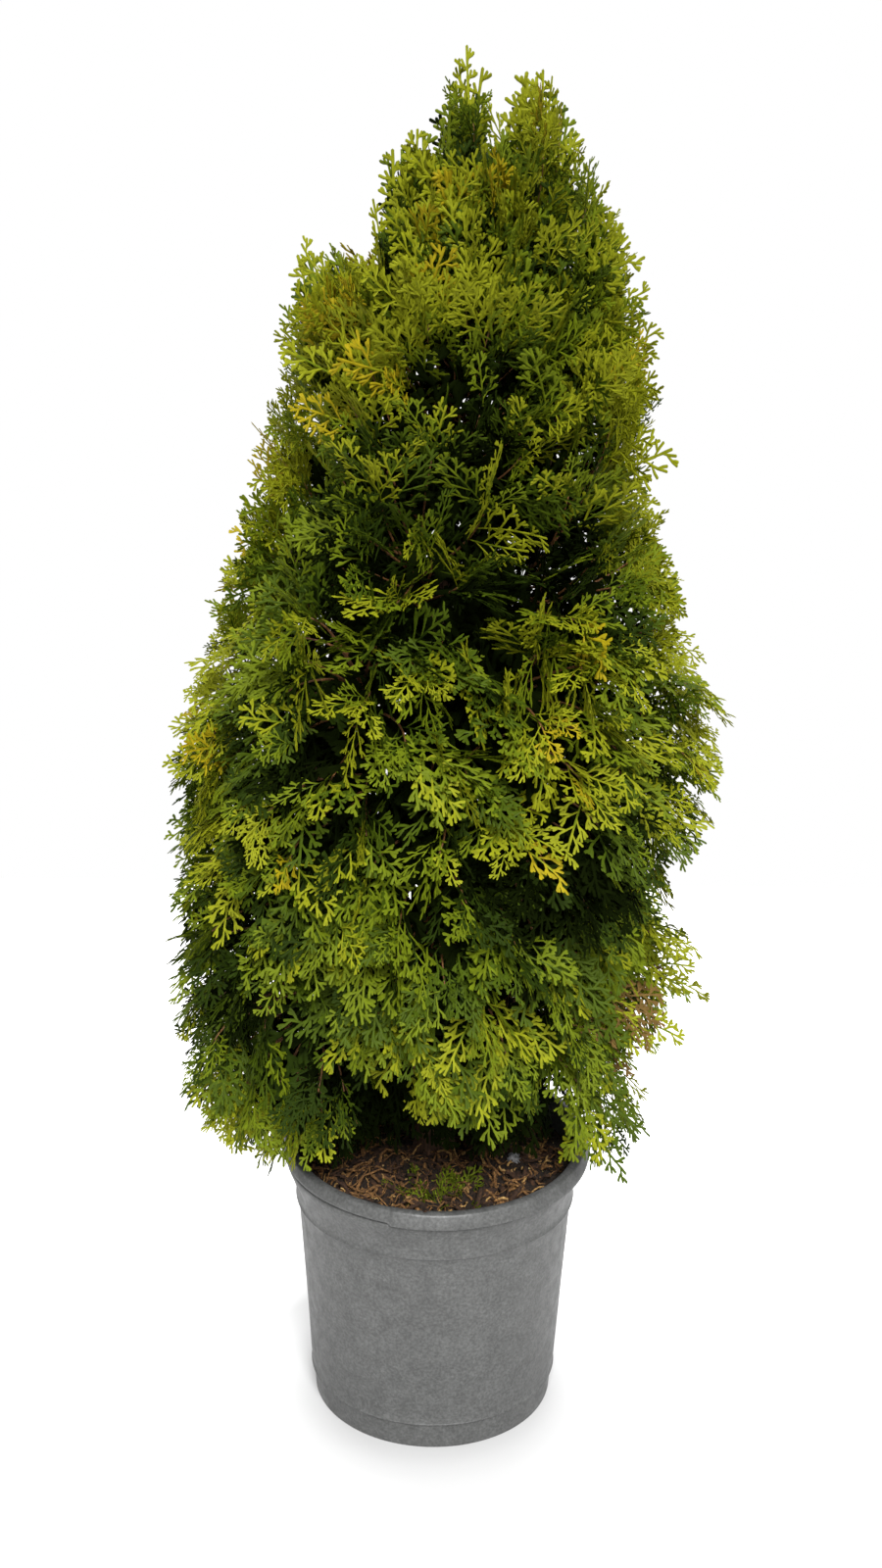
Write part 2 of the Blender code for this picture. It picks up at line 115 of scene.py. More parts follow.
def grid_faces(grids: int, rows: int, columns: int, closed: bool = False, flip: bool = False) -> Array:
    """Quads of equal grids of points that lie one after another in a point list.

    Args:
        grids: how many grids there are.
        rows: rows of points in a grid.
        columns: points in a row.
        closed: joins each row's last point to its first.
        flip: turns the faces round.

    Returns:
        An array of four point numbers a face.
    """
    base = (np.arange(grids) * rows * columns)[:, None, None]
    row = np.arange(rows - 1)[None, :, None] * columns
    column = np.arange(columns if closed else columns - 1)[None, None, :]
    after = (column + 1) % columns
    here, there = base + row, base + row + columns
    corners = [here + column, here + after, there + after, there + column]
    return np.stack(corners[::-1] if flip else corners, axis=-1).reshape(-1, 4)


def cap_faces(grids: int, rows: int, columns: int) -> Array:
    """Triangles that close both ends of tubes whose pole points follow all the grids, two for each tube.

    Args:
        grids: how many tubes there are.
        rows: rows of points in a tube.
        columns: points in a row.

    Returns:
        An array of three point numbers a face.
    """
    base = (np.arange(grids) * rows * columns)[:, None]
    column = np.arange(columns)[None, :]
    after = (column + 1) % columns
    foot = grids * rows * columns + 2 * np.arange(grids)[:, None] + 0 * column
    last = base + (rows - 1) * columns
    start = np.stack([foot, base + after, base + column], axis=-1)
    end = np.stack([foot + 1, last + column, last + after], axis=-1)
    return np.concatenate([start.reshape(-1, 3), end.reshape(-1, 3)])


def swept(paths: Array, radii: Array, sides: int) -> tuple[Array, list[Array]]:
    """Closed tubes along paths: at each path point a ring at radius * (cos a, sin a) in the plane across it.

    Args:
        paths: tubes x rows x 3 path points.
        radii: tubes x rows radii, or tubes x rows x sides for a wall with relief.
        sides: points in a ring.

    Returns:
        The points, and the face arrays of the walls and of the caps.
    """
    tubes, rows = paths.shape[:2]
    along = unit(np.gradient(paths, axis=1))
    upright = np.abs(along[..., 2]).mean(axis=1) > STEEP
    aside = np.where(upright[:, None, None], np.array([1.0, 0.0, 0.0]), UP)
    first = unit(np.cross(along, aside))
    second = np.cross(along, first)
    angles = TURN * np.arange(sides) / sides
    ring = first[:, :, None] * np.cos(angles)[:, None] + second[:, :, None] * np.sin(angles)[:, None]
    spread = radii if radii.ndim == 3 else radii[:, :, None]
    walls = paths[:, :, None] + ring * spread[..., None]
    points = np.concatenate([walls.reshape(-1, 3), paths[:, [0, -1]].reshape(-1, 3)])
    return points, [grid_faces(tubes, rows, sides, closed=True), cap_faces(tubes, rows, sides)]


def new_mesh(name: str, points: Array, faces: list[Array], smooth: bool = True) -> bpy.types.Mesh:
    """A Blender mesh from whole arrays.

    Args:
        name: the mesh's name.
        points: the vertices.
        faces: arrays of point numbers, one for each number of corners.
        smooth: shades the faces smooth.

    Returns:
        The finished mesh.
    """
    mesh = bpy.data.meshes.new(name)
    corners = np.concatenate([part.ravel() for part in faces]).astype(np.int32)
    sizes = np.concatenate([np.full(len(part), part.shape[1]) for part in faces])
    starts = np.concatenate([[0], np.cumsum(sizes)[:-1]]).astype(np.int32)
    mesh.vertices.add(len(points))
    mesh.vertices.foreach_set("co", points.astype(np.float32).ravel())
    mesh.loops.add(len(corners))
    mesh.loops.foreach_set("vertex_index", corners)
    mesh.polygons.add(len(sizes))
    mesh.polygons.foreach_set("loop_start", starts)
    mesh.update(calc_edges=True)
    mesh.validate()
    if smooth:
        mesh.shade_smooth()
    return mesh


def add_piece(
    name: str, points: Array, faces: list[Array], finish: "Finish", replaced: tuple = (), smooth: bool = True
) -> None:
    """Adds a piece of the plant that rides on its one body.

    Args:
        name: the piece's name.
        points: the vertices, in place.
        faces: arrays of point numbers.
        finish: what the piece is made of.
        replaced: solids that the piece stands for.
        smooth: shades the faces smooth.
    """
    piece = bpy.data.objects.new(name, new_mesh(name, points, faces, smooth))
    bpy.context.scene.collection.objects.link(piece)
    piece.data.materials.append(finish.material())
    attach(piece, BODY)
    if replaced:
        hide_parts(*replaced)
    triangles = sum(len(part) * (part.shape[1] - 2) for part in faces)
    LOG.info("%s: %d triangles, stands for %d solids", name, triangles, len(replaced))


# ------------ finishes


class NodeTree:
    """A material's node tree with short calls to add and join nodes."""

    def __init__(self, name: str) -> None:
        """Makes a material of that name with its Principled shader.

        Args:
            name: the material's name.
        """
        self.material = bpy.data.materials.new(name)
        self.material.use_nodes = True
        self.tree = self.material.node_tree
        self.shader = self.tree.nodes["Principled BSDF"]

    def add(self, kind: str, values: dict | None = None, **settings: object) -> bpy.types.Node:
        """Adds a node.

        Args:
            kind: the node's type, without its ShaderNode prefix.
            values: default values by input name.
            **settings: properties of the node itself.

        Returns:
            The new node.
        """
        node = self.tree.nodes.new("ShaderNode" + kind)
        for key, value in settings.items():
            setattr(node, key, value)
        for key, value in (values or {}).items():
            node.inputs[key].default_value = value
        return node

    def join(self, source: Socket, target: Socket) -> None:
        """Links an output to an input."""
        self.tree.links.new(source, target)

    def drive(self, socket: str, source: Socket) -> None:
        """Links an output to a named input of the shader."""
        self.join(source, self.shader.inputs[socket])

    def fix(self, socket: str, value: float | tuple) -> None:
        """Sets a constant on a named input of the shader."""
        self.shader.inputs[socket].default_value = value

    def noise(self, scale: float, detail: float, stretch: tuple | None = None) -> Socket:
        """Noise over Object coordinates.

        Args:
            scale: its frequency per metre.
            detail: its number of octaves.
            stretch: scale of each axis before the noise, if not even.

        Returns:
            The noise's value output.
        """
        place = self.add("TexCoord").outputs["Object"]
        if stretch:
            mapping = self.add("Mapping", {"Scale": stretch})
            self.join(place, mapping.inputs["Vector"])
            place = mapping.outputs["Vector"]
        texture = self.add("TexNoise", {"Scale": scale, "Detail": detail})
        self.join(place, texture.inputs["Vector"])
        return texture.outputs["Fac"]

    def ramp(self, value: Socket, stops: list[tuple[float, tuple]]) -> Socket:
        """A colour ramp over a value.

        Args:
            value: the output that drives it.
            stops: place and colour of each stop.

        Returns:
            The ramp's colour output.
        """
        node = self.add("ValToRGB")
        marks = node.color_ramp.elements
        while len(marks) < len(stops):
            marks.new(0.5)
        for mark, (place, colour) in zip(marks, stops):
            mark.position = place
            mark.color = (*colour, 1.0)
        self.join(value, node.inputs["Fac"])
        return node.outputs["Color"]

    def product(self, first: Socket, second: Socket) -> Socket:
        """One colour output multiplied by another.

        Args:
            first: a colour output.
            second: another.

        Returns:
            The output of their product.
        """
        mix = self.add("Mix", data_type="RGBA", blend_type="MULTIPLY")
        factor, colour_a, colour_b = mix.inputs["Factor"], mix.inputs[6], mix.inputs[7]
        factor.default_value = 1.0
        self.join(first, colour_a)
        self.join(second, colour_b)
        return mix.outputs[2]

    def bump(self, height: Socket, distance: float, strength: float) -> None:
        """Adds a bump on top of those before it.

        Args:
            height: the output that raises the surface.
            distance: by how much at most, in metres.
            strength: share of the bump that is felt.
        """
        node = self.add("Bump", {"Strength": strength, "Distance": distance})
        self.join(height, node.inputs["Height"])
        if self.shader.inputs["Normal"].is_linked:
            self.join(self.shader.inputs["Normal"].links[0].from_socket, node.inputs["Normal"])
        self.drive("Normal", node.outputs["Normal"])


def greys(stops: tuple) -> list[tuple[float, tuple]]:
    """Stops of a ramp from pairs of place and grey value."""
    return [(place, (value,) * 3) for place, value in stops]


@dataclass(frozen=True)
class Finish:
    """A surface finish. A subclass draws it in `dress`."""

    name: str
    slot: str
    colour: tuple
    roughness: float

    def dress(self, tree: NodeTree) -> None:
        """Draws the finish's colour and relief."""
        tree.fix("Base Color", (*self.colour, 1.0))

    def shades(self, factors: tuple) -> list[tuple[float, tuple]]:
        """Stops of a ramp in the finish's colour from pairs of place and factor."""
        return [(place, tuple(channel * factor for channel in self.colour)) for place, factor in factors]

    def material(self) -> bpy.types.Material:
        """The finish's material, made at its first use.

        Returns:
            The material.
        """
        found = bpy.data.materials.get(self.name)
        if found:
            return found
        tree = NodeTree(self.name)
        tree.fix("Roughness", self.roughness)
        tree.fix("Metallic", 0.0)
        self.dress(tree)
        return tree.material


@dataclass(frozen=True)
class LeafFinish(Finish):
    """Scale leaves: one plain colour with slight light and dark mottling and a fine scaly relief."""

    mottling: float = 0.18
    gloss: float = 0.12
    patches: tuple = (170.0, 2.0)
    patch_places: tuple = (0.32, 0.68)
    scales: tuple = (900.0, 1.0)
    relief: tuple = (0.0003, 0.5)

    def dress(self, tree: NodeTree) -> None:
        """Mottles the colour by noise of a few millimetres and adds scales of under a millimetre.

        Args:
            tree: the material's nodes.
        """
        tree.fix("Specular IOR Level", self.gloss)
        stops = self.shades(tuple(zip(self.patch_places, (1.0 - self.mottling, 1.0 + self.mottling))))
        tree.drive("Base Color", tree.ramp(tree.noise(*self.patches), stops))
        tree.bump(tree.noise(*self.scales), *self.relief)


@dataclass(frozen=True)
class BarkFinish(Finish):
    """Stringy bark: red-brown strips with grey ridges, streaked along the limb."""

    streaks: tuple = (420.0, 4.0, (1.0, 1.0, 0.12))
    strips: tuple = ((0.30, 0.35), (0.52, 1.0), (0.74, 1.9))
    relief: tuple = (0.0012, 0.8)

    def dress(self, tree: NodeTree) -> None:
        """Streaks the colour along Z and furrows the surface.

        Args:
            tree: the material's nodes.
        """
        streaks = tree.noise(*self.streaks)
        tree.drive("Base Color", tree.ramp(streaks, self.shades(self.strips)))
        tree.bump(streaks, *self.relief)


@dataclass(frozen=True)
class PlasticFinish(Finish):
    """Recycled matte plastic: mid grey with fine flecks, cloudy patches and a slightly pebbled skin."""

    cloud_noise: tuple = (60.0, 5.0)
    clouds: tuple = ((0.34, 0.89), (0.66, 1.11))
    fleck_noise: tuple = (380.0, 4.0)
    flecks: tuple = ((0.36, 0.77), (0.50, 0.99), (0.66, 1.26))
    scuff_noise: tuple = (170.0, 6.0, (1.0, 1.0, 2.2))
    scuffs: tuple = ((0.60, 1.0), (0.70, 1.22))
    gloss_noise: tuple = (90.0, 4.0)
    gloss: tuple = ((0.35, -0.07), (0.65, 0.09))
    pebbles: tuple = ((700.0, 3.0, 0.0004, 0.25), (70.0, 4.0, 0.0012, 0.30))

    def dress(self, tree: NodeTree) -> None:
        """Multiplies cloudy patches by fine flecks and pale scuffs, varies the gloss, and pebbles the skin.

        Args:
            tree: the material's nodes.
        """
        clouds = tree.ramp(tree.noise(*self.cloud_noise), self.shades(self.clouds))
        flecks = tree.ramp(tree.noise(*self.fleck_noise), greys(self.flecks))
        scuffs = tree.ramp(tree.noise(*self.scuff_noise), greys(self.scuffs))
        tree.drive("Base Color", tree.product(tree.product(clouds, flecks), scuffs))
        gloss = greys(tuple((place, self.roughness + change) for place, change in self.gloss))
        tree.drive("Roughness", tree.ramp(tree.noise(*self.gloss_noise), gloss))
        for scale, detail, distance, strength in self.pebbles:
            tree.bump(tree.noise(scale, detail), distance, strength)


@dataclass(frozen=True)
class EarthFinish(Finish):
    """Crumbly or fibrous skin: dark crumbs, the plain colour, and lighter bits."""

    light: tuple
    crumbs: tuple = (420.0, 6.0)
    dark: tuple = (0.36, 0.4)
    places: tuple = (0.55, 0.74)
    relief: tuple = (0.002, 0.9)

    def dress(self, tree: NodeTree) -> None:
        """Speckles the colour at the scale of crumbs and roughens the surface.

        Args:
            tree: the material's nodes.
        """
        crumbs = tree.noise(*self.crumbs)
        middle, top = self.places
        stops = [*self.shades((self.dark,)), (middle, self.colour), (top, self.light)]
        tree.drive("Base Color", tree.ramp(crumbs, stops))
        tree.bump(crumbs, *self.relief)


class Tint(Enum):
    """Colours of the foliage, from the painted shade inside the crown to its golden young tips, and withered."""

    SHADE = 0
    DEEP = 1
    LEAF = 2
    LIME = 3
    STRAW = 4
    GOLD = 5
    RUST = 6


# SHADE, near black, is painted shade; DEEP, dim green, is partly the darker inner green and partly painted shade. Both
# go on sprays inside the crown and under it.
LEAF_FINISHES = {
    Tint.SHADE: LeafFinish("leaf_shade", "foliage", (0.0040, 0.0070, 0.0004), 0.9, gloss=0.03),
    Tint.DEEP: LeafFinish("leaf_deep", "foliage", (0.017, 0.031, 0.0012), 0.7, gloss=0.08),
    Tint.LEAF: LeafFinish("leaf_green", "foliage", (0.054, 0.084, 0.0030), 0.6),
    Tint.LIME: LeafFinish("leaf_lime", "foliage", (0.123, 0.161, 0.0048), 0.6),
    Tint.STRAW: LeafFinish("leaf_straw", "foliage", (0.230, 0.248, 0.0076), 0.6),
    Tint.GOLD: LeafFinish("leaf_gold", "foliage", (0.330, 0.262, 0.0065), 0.6),
    Tint.RUST: LeafFinish("leaf_rust", "foliage", (0.150, 0.090, 0.0250), 0.8),
}
SHOOT_BARK = BarkFinish("shoot_bark", "bark", (0.165, 0.070, 0.020), 0.6)
OLD_BARK = BarkFinish("old_bark", "bark", (0.085, 0.044, 0.023), 0.85)
POT_PLASTIC = PlasticFinish("grey_plastic", "pot_plastic", (0.084, 0.085, 0.083), 0.44)
PEAT = EarthFinish("peat", "soil", (0.015, 0.007, 0.0025), 0.95, (0.060, 0.026, 0.008))
ROOT_SKIN = EarthFinish("root_skin", "soil", (0.170, 0.078, 0.020), 0.85, (0.42, 0.22, 0.07))
DARK_CHIP = EarthFinish("dark_chip", "soil", (0.040, 0.016, 0.005), 0.9, (0.085, 0.038, 0.012))
TAN_CHIP = EarthFinish("tan_chip", "soil", (0.420, 0.240, 0.075), 0.85, (0.62, 0.43, 0.17))
MOSS = LeafFinish("moss", "soil", (0.100, 0.128, 0.006), 0.7, mottling=0.55)
STONE = EarthFinish("stone", "soil", (0.270, 0.270, 0.275), 0.75, (0.42, 0.42, 0.43))
CRUMB = EarthFinish("pale_crumb", "soil", (0.420, 0.300, 0.120), 0.9, (0.66, 0.52, 0.26))


# ------------ crown


@dataclass(frozen=True)
class PotSizes:
    """Sizes of the pot and its soil."""

    rim_radius: float = 0.150
    rim_top: float = 0.263
    rim_depth: float = 0.012
    base_radius: float = 0.1161
    foot_height: float = 0.0242
    foot_step: float = 0.0016
    collar_bottom: float = 0.205
    collar_step: float = 0.0037
    wall_top_radius: float = 0.1318
    wall: float = 0.003
    rim_warp: float = 0.0105
    rim_side: float = -0.0022
    soil_top: float = 0.250
    soil_edge: float = 0.243

    @property
    def collar_radius(self) -> float:
        """Outer radius of the collar under the rim."""
        return self.wall_top_radius + self.collar_step

    def wall_inside(self, height: float) -> float:
        """Inner radius of the wall below the collar's step.

        Args:
            height: a height above the floor.

        Returns:
            The radius there.
        """
        share = (height - self.foot_height) / (self.collar_bottom - self.foot_height)
        foot = self.base_radius + 2.0 * self.foot_step
        return foot + (self.wall_top_radius - foot) * share - self.wall


@dataclass(frozen=True)
class Tier:
    """A ring of foliage masses."""

    name: str
    height: float
    ring: float
    radius: float
    first: float
    lifts: tuple
    pushes: tuple


@dataclass
class Mass:
    """A spheroid of foliage that shares the crown with its neighbours by flat walls."""

    name: str
    centre: Array
    radius: float
    stretch: float
    normals: Array = field(default_factory=lambda: np.zeros((0, 3)))
    offsets: Array = field(default_factory=lambda: np.zeros(0))
    space_gap: float = 0.0012

    def squeezed(self, points: Array) -> Array:
        """Points in the space where the spheroid is a sphere."""
        return points / np.array([1.0, 1.0, self.stretch])

    def share_with(self, others: list["Mass"]) -> None:
        """Works out the walls: each is the plane of equal power between two squeezed spheres.

        Args:
            others: the other masses of the crown.
        """
        own = self.squeezed(self.centre)
        theirs = self.squeezed(np.array([other.centre for other in others]))
        radii = np.array([other.radius for other in others])
        normals = self.squeezed(2.0 * (own - theirs))
        offsets = (theirs**2).sum(axis=1) - own @ own - radii**2 + self.radius**2
        lengths = np.linalg.norm(normals, axis=1)
        self.normals = normals / lengths[:, None]
        self.offsets = offsets / lengths

    def reaches(self, directions: Array) -> tuple[Array, Array]:
        """Distances from the centre to the skin and to the nearest wall.

        Args:
            directions: unit vectors.

        Returns:
            Both distances for each direction, infinite where it meets no wall.
        """
        end = self.radius / np.linalg.norm(self.squeezed(directions), axis=-1)
        depth = self.normals @ self.centre + self.offsets - self.space_gap
        closing = -(directions @ self.normals.T)
        wall = np.where(closing > 1e-6, depth / np.maximum(closing, 1e-6), np.inf).min(axis=-1)
        return end, wall

    def fullness(self, points: Array) -> Array:
        """How far out points lie: 0 at the centre and 1 on the skin."""
        return np.linalg.norm(self.squeezed(points - self.centre), axis=-1) / self.radius

    def area(self) -> float:
        """Area of the whole spheroid's skin."""
        eccentricity = math.sqrt(1.0 - 1.0 / self.stretch**2)
        belt = self.stretch * math.asin(eccentricity) / eccentricity
        return TURN * self.radius**2 * (1.0 + belt)


@dataclass
class Crown:
    """The crown's plan: its axis, its masses, and how foliage grows at each height."""

    stretch: float = 1.9
    offset: float = -0.036
    lean: float = 0.055
    girth: float = 0.20
    tiers: tuple = (
        Tier(
            "skirt", 0.430, 0.117, 0.122, 30,
            (0.080, 0.010, 0.0, -0.004, 0.105, 0.012), (0.0, 0.0, 0.0, 0.0, 0.005, -0.036),
        ),
        Tier(
            "belly", 0.605, 0.120, 0.125, 0,
            (0.030, 0.0, 0.0, -0.005, 0.020, 0.010), (0.014, 0.0, 0.0, 0.0, 0.0, 0.0),
        ),
        Tier("shoulder", 0.765, 0.085, 0.118, 36, (0.0, 0.020, 0.0, 0.015, 0.0), (0.0, 0.0, 0.0, 0.0, 0.0)),
        Tier("crest", 0.905, 0.058, 0.101, 0, (-0.010, 0.010, -0.006, -0.010), (0.016, 0.0, 0.012, 0.0)),
    )
    tips: tuple = (("tip_main", (0.012, 0.0, 1.122), 0.061), ("tip_right", (0.067, 0.004, 1.050), 0.087))
    growth_heights: tuple = (0.28, 0.45, 0.62, 0.72, 0.78, 0.84, 0.92, 1.02, 1.24)
    growth_angles: tuple = (-70.0, -58.0, -50.0, -42.0, -10.0, 40.0, 62.0, 73.0, 84.0)
    masses: list = field(default_factory=list)

    def __post_init__(self) -> None:
        """Plans the masses tier by tier and shares the crown between them."""
        for tier in self.tiers:
            for i, (lift, push) in enumerate(zip(tier.lifts, tier.pushes)):
                angle = math.radians(tier.first) + TURN * i / len(tier.lifts)
                around = np.array([math.cos(angle), math.sin(angle), 0.0]) * (tier.ring + push)
                centre = self.axis(np.array(tier.height + lift)) + around
                self.masses.append(Mass(f"{tier.name}_{i + 1}", centre, tier.radius, self.stretch))
        for name, centre, radius in self.tips:
            self.masses.append(Mass(name, np.array(centre), radius, self.stretch))
        for mass in self.masses:
            mass.share_with([other for other in self.masses if other is not mass])

    def axis(self, heights: Array) -> Array:
        """Middle of the crown at heights."""
        return np.stack([self.offset + self.lean * heights, 0.0 * heights, heights], axis=-1)

    def outward(self, points: Array, mass: Mass) -> Array:
        """Level unit vectors that point half out of the crown and half out of a mass.

        Args:
            points: where they start.
            mass: the mass.

        Returns:
            One vector a point.
        """
        level = np.array([1.0, 1.0, 0.0])
        from_axis = (points - self.axis(points[..., 2])) * level / self.girth
        from_mass = (points - mass.centre) * level / mass.radius
        return unit(0.5 * from_axis + 0.5 * from_mass + 1e-6)

    def growth(self, points: Array, mass: Mass, swing: Array) -> Array:
        """Unit directions that shoots take at points: hanging low down and upright at the top.

        Args:
            points: where they end.
            mass: the mass that they grow in.
            swing: how far each turns sideways from straight outwards, in radians.

        Returns:
            One direction a point.
        """
        rise = np.radians(np.interp(points[..., 2], self.growth_heights, self.growth_angles))[..., None]
        out = self.outward(points, mass)
        aside = np.stack([-out[..., 1], out[..., 0], 0.0 * out[..., 0]], axis=-1)
        turned = out * np.cos(swing)[..., None] + aside * np.sin(swing)[..., None]
        return turned * np.cos(rise) + UP * np.sin(rise)

    def fullness(self, points: Array) -> Array:
        """How far out points lie in the mass that they are deepest in: below 1 inside the crown."""
        return np.min([mass.fullness(points) for mass in self.masses], axis=0)


@dataclass(frozen=True)
class Branchlet:
    """One strip of a spray: its start, heading and length, how it curls in the plane and tilts out of it."""

    u: float
    v: float
    height: float
    angle: float
    curl: float
    length: float
    tilt: float
    width: float
    layer: int
    curl_back: float = 0.42

    def at(self, share: float) -> tuple[float, float, float]:
        """Point at share t of its length: start + length t (cos(angle + curl t / 2), sin(angle + curl t / 2))."""
        turned, run = self.angle + 0.5 * self.curl * share, self.length * share
        return self.u + run * math.cos(turned), self.v + run * math.sin(turned), self.height + self.tilt * run

    def fork(self, share: float, turn: float, length: float, tilt: float, width: float) -> "Branchlet":
        """A branchlet of the spray's rim that leaves this one at a share of its length, turned, and curls back."""
        heading = self.angle + self.curl * share
        return Branchlet(*self.at(share), heading + turn, -self.curl_back * turn, length, tilt, width, 1)


@dataclass(frozen=True)
class SprayPattern:
    """A flat spray of unit length: an axis with alternate side branches that fork into blunt branchlets.

    Each branchlet is a strip of 3 rows by 3 points with a low ridge along it.
    """

    seed: int = 0
    sides: int = 9
    width: float = 0.037
    reach: float = 0.38
    stub: float = 0.11
    angle: float = 52.0
    fork_reach: float = 0.098
    forked: bool = True
    axis_parts: int = 5
    row_places: tuple = (0.0, 0.60, 1.0)
    row_widths: tuple = (0.62, 0.94, 0.92)
    ridge: float = 0.46
    tip_drop: float = 0.6
    roundness: float = 0.34
    bow: float = 0.28
    bow_turn: float = 0.4
    axis_taper: tuple = (0.62, 3.0)
    axis_overlap: float = 1.06
    side_places: tuple = (0.07, 0.88, 0.012)
    side_taper: tuple = (0.8, 0.5, 2.5)
    length_spread: tuple = (0.74, 1.22)
    angle_change: float = 13.0
    angle_spread: float = 7.0
    side_tilt: float = 0.10
    side_slim: float = 0.92
    fork_lengths: tuple = (1.9, 3.2)
    fork_places: tuple = (0.36, 0.62, 0.83)
    fork_shift: float = 0.03
    fork_angle: float = 42.0
    fork_angle_spread: float = 8.0
    fork_share: float = 0.34
    fork_spread: tuple = (0.75, 1.22)
    fork_tilt: float = 0.12
    twig_from: float = 1.5
    twig_angle: float = 40.0
    twig_length: tuple = (0.8, 0.8, 1.2)

    def branchlets(self) -> list[Branchlet]:
        """The spray's branchlets: its axis in a few parts, and its side branches with their forks."""
        dice = np.random.default_rng(self.seed)
        bow = dice.uniform(-self.bow, self.bow)
        slim, slim_parts = self.axis_taper
        axis = Branchlet(0.0, 0.0, 0.0, -self.bow_turn * bow, bow, 1.0, 0.0, self.width, 0)
        parts = []
        for i in range(self.axis_parts):
            low, high = np.array(axis.at(i / self.axis_parts)), np.array(axis.at((i + 1) / self.axis_parts))
            run = high - low
            width = self.width * (slim + (1.0 - slim) * min(1.0, i / slim_parts))
            heading, length = math.atan2(run[1], run[0]), self.axis_overlap * float(np.hypot(*run[:2]))
            parts.append(Branchlet(*low, heading, 0.0, length, 0.0, width, int(i >= slim_parts)))
        start, spread, shift = self.side_places
        power, least, steep = self.side_taper
        for i in range(self.sides):
            place = start + spread * (i + 0.5) / self.sides + dice.uniform(-shift, shift)
            hand = 1.0 if (i + self.seed) % 2 else -1.0
            taper = (1.0 - place) ** power * min(1.0, least + steep * place)
            length = (self.reach * taper + self.stub) * dice.uniform(*self.length_spread)
            angle = self.angle - self.angle_change * place + dice.uniform(-self.angle_spread, self.angle_spread)
            tilt = dice.normal(0.0, self.side_tilt)
            side = axis.fork(place, hand * math.radians(angle), length, tilt, self.width * self.side_slim)
            parts.append(side)
            parts.extend(self.side_forks(side, hand, dice) if self.forked else ())
        return parts

    def side_forks(self, side: Branchlet, hand: float, dice: Dice) -> list[Branchlet]:
        """Forks of a side branch.

        Args:
            side: the side branch.
            hand: 1 or -1, the side of the axis that it is on.
            dice: the pattern's random source.

        Returns:
            Its forks, alternately behind and before it, and the largest one's own fork.
        """
        count = 1 + sum(side.length > least * self.fork_reach for least in self.fork_lengths)
        spread = self.fork_angle_spread
        parts = []
        for j in range(count):
            share = self.fork_places[j] + dice.uniform(-self.fork_shift, self.fork_shift)
            way = -hand if j % 2 else hand
            turn = way * math.radians(self.fork_angle + dice.uniform(-spread, spread))
            length = self.fork_reach + self.fork_share * side.length * (1.0 - share)
            length = length * dice.uniform(*self.fork_spread)
            fork = side.fork(share, turn, length, side.tilt + dice.normal(0.0, self.fork_tilt), self.width)
            parts.append(fork)
            if length > self.twig_from * self.fork_reach:
                turn = -way * math.radians(self.twig_angle + dice.uniform(-spread, spread))
                stub = self.twig_length[0] * self.fork_reach * dice.uniform(*self.twig_length[1:])
                parts.append(fork.fork(0.5, turn, stub, fork.tilt, self.width))
        return parts

    def points(self) -> tuple[Array, Array]:
        """Strip points of every branchlet, and the layer of each.

        At share t of a branchlet and side s in (-1, 0, 1) a point is the branchlet's own point at t
        plus s * half width(t) across its heading there, raised along its middle by the ridge. The last
        row's middle point runs on by a part of the width, so that the tip is round.

        Returns:
            branchlets x 9 x 3 points (u, v, height), and one layer a branchlet.
        """
        table = np.array([astuple(branchlet) for branchlet in self.branchlets()])
        u, v, base, angle, curl, length, tilt, width = (column[:, None, None] for column in table.T[:8])
        half = 0.5 * width * np.array(self.row_widths)[None, :, None]
        s = np.array([-1.0, 0.0, 1.0])[None, None, :]
        last = UP[None, :, None]
        t = np.array(self.row_places)[None, :, None] + last * (1.0 - np.abs(s)) * self.roundness * width / length
        turned, heading = angle + 0.5 * curl * t, angle + curl * t
        out_u = u + length * t * np.cos(turned) - s * half * np.sin(heading)
        out_v = v + length * t * np.sin(turned) + s * half * np.cos(heading)
        height = base + tilt * length * t + 2.0 * self.ridge * half * (1.0 - np.abs(s)) * (1.0 - self.tip_drop * last)
        return np.stack([out_u, out_v, height], axis=-1).reshape(len(table), 9, 3), table[:, 8].astype(int)


@dataclass
class SprayBatch:
    """Many sprays: where each starts, its three axes, its length, droop and cup, its pattern and tints."""

    foot: Array
    along: Array
    across: Array
    normal: Array
    size: Array
    droop: Array
    cup: Array
    pattern: Array
    tints: Array

    def kept(self, chosen: Array) -> "SprayBatch":
        """The chosen sprays alone."""
        return SprayBatch(*(getattr(self, part.name)[chosen] for part in fields(self)))

    @staticmethod
    def joined(batches: list["SprayBatch"]) -> "SprayBatch":
        """One batch of all the sprays of several."""
        names = [part.name for part in fields(SprayBatch)]
        return SprayBatch(*(np.concatenate([getattr(batch, name) for batch in batches]) for name in names))

    def shaped(self, shape: Array) -> Array:
        """Every spray's points in one pattern.

        A pattern point (u, v, h) lands at foot + size * (u along + v across + (h + cup v^2) normal
        + u^2 droop up), so that a spray arches along its length and is cupped across it.

        Args:
            shape: points x 3 of the unit spray.

        Returns:
            sprays x points x 3 positions.
        """
        u, v, height = (shape[None, :, i, None] for i in range(3))
        raised = height + self.cup[:, None, None] * v * v
        local = u * self.along[:, None] + v * self.across[:, None] + raised * self.normal[:, None]
        local[..., 2] += (u * u)[..., 0] * self.droop[:, None]
        return self.foot[:, None] + self.size[:, None, None] * local


class Kind(Enum):
    """Kinds of spray pattern, by size and use."""

    LONG = 0
    SHORT = 1
    SMALL = 2
    HEART = 3
    LEADER = 4


@dataclass(frozen=True)
class PatternRange:
    """The patterns of one kind: the first one's number, how many there are, and the form that their seeds vary."""

    first: int
    count: int
    form: SprayPattern

    def drawn(self, dice: Dice, sprays: int) -> Array:
        """A pattern number for each of a number of sprays."""
        return self.first + dice.integers(0, self.count, sprays)

    def patterns(self) -> list[SprayPattern]:
        """Every pattern of the kind, seeded by its number."""
        return [replace(self.form, seed=self.first + i) for i in range(self.count)]


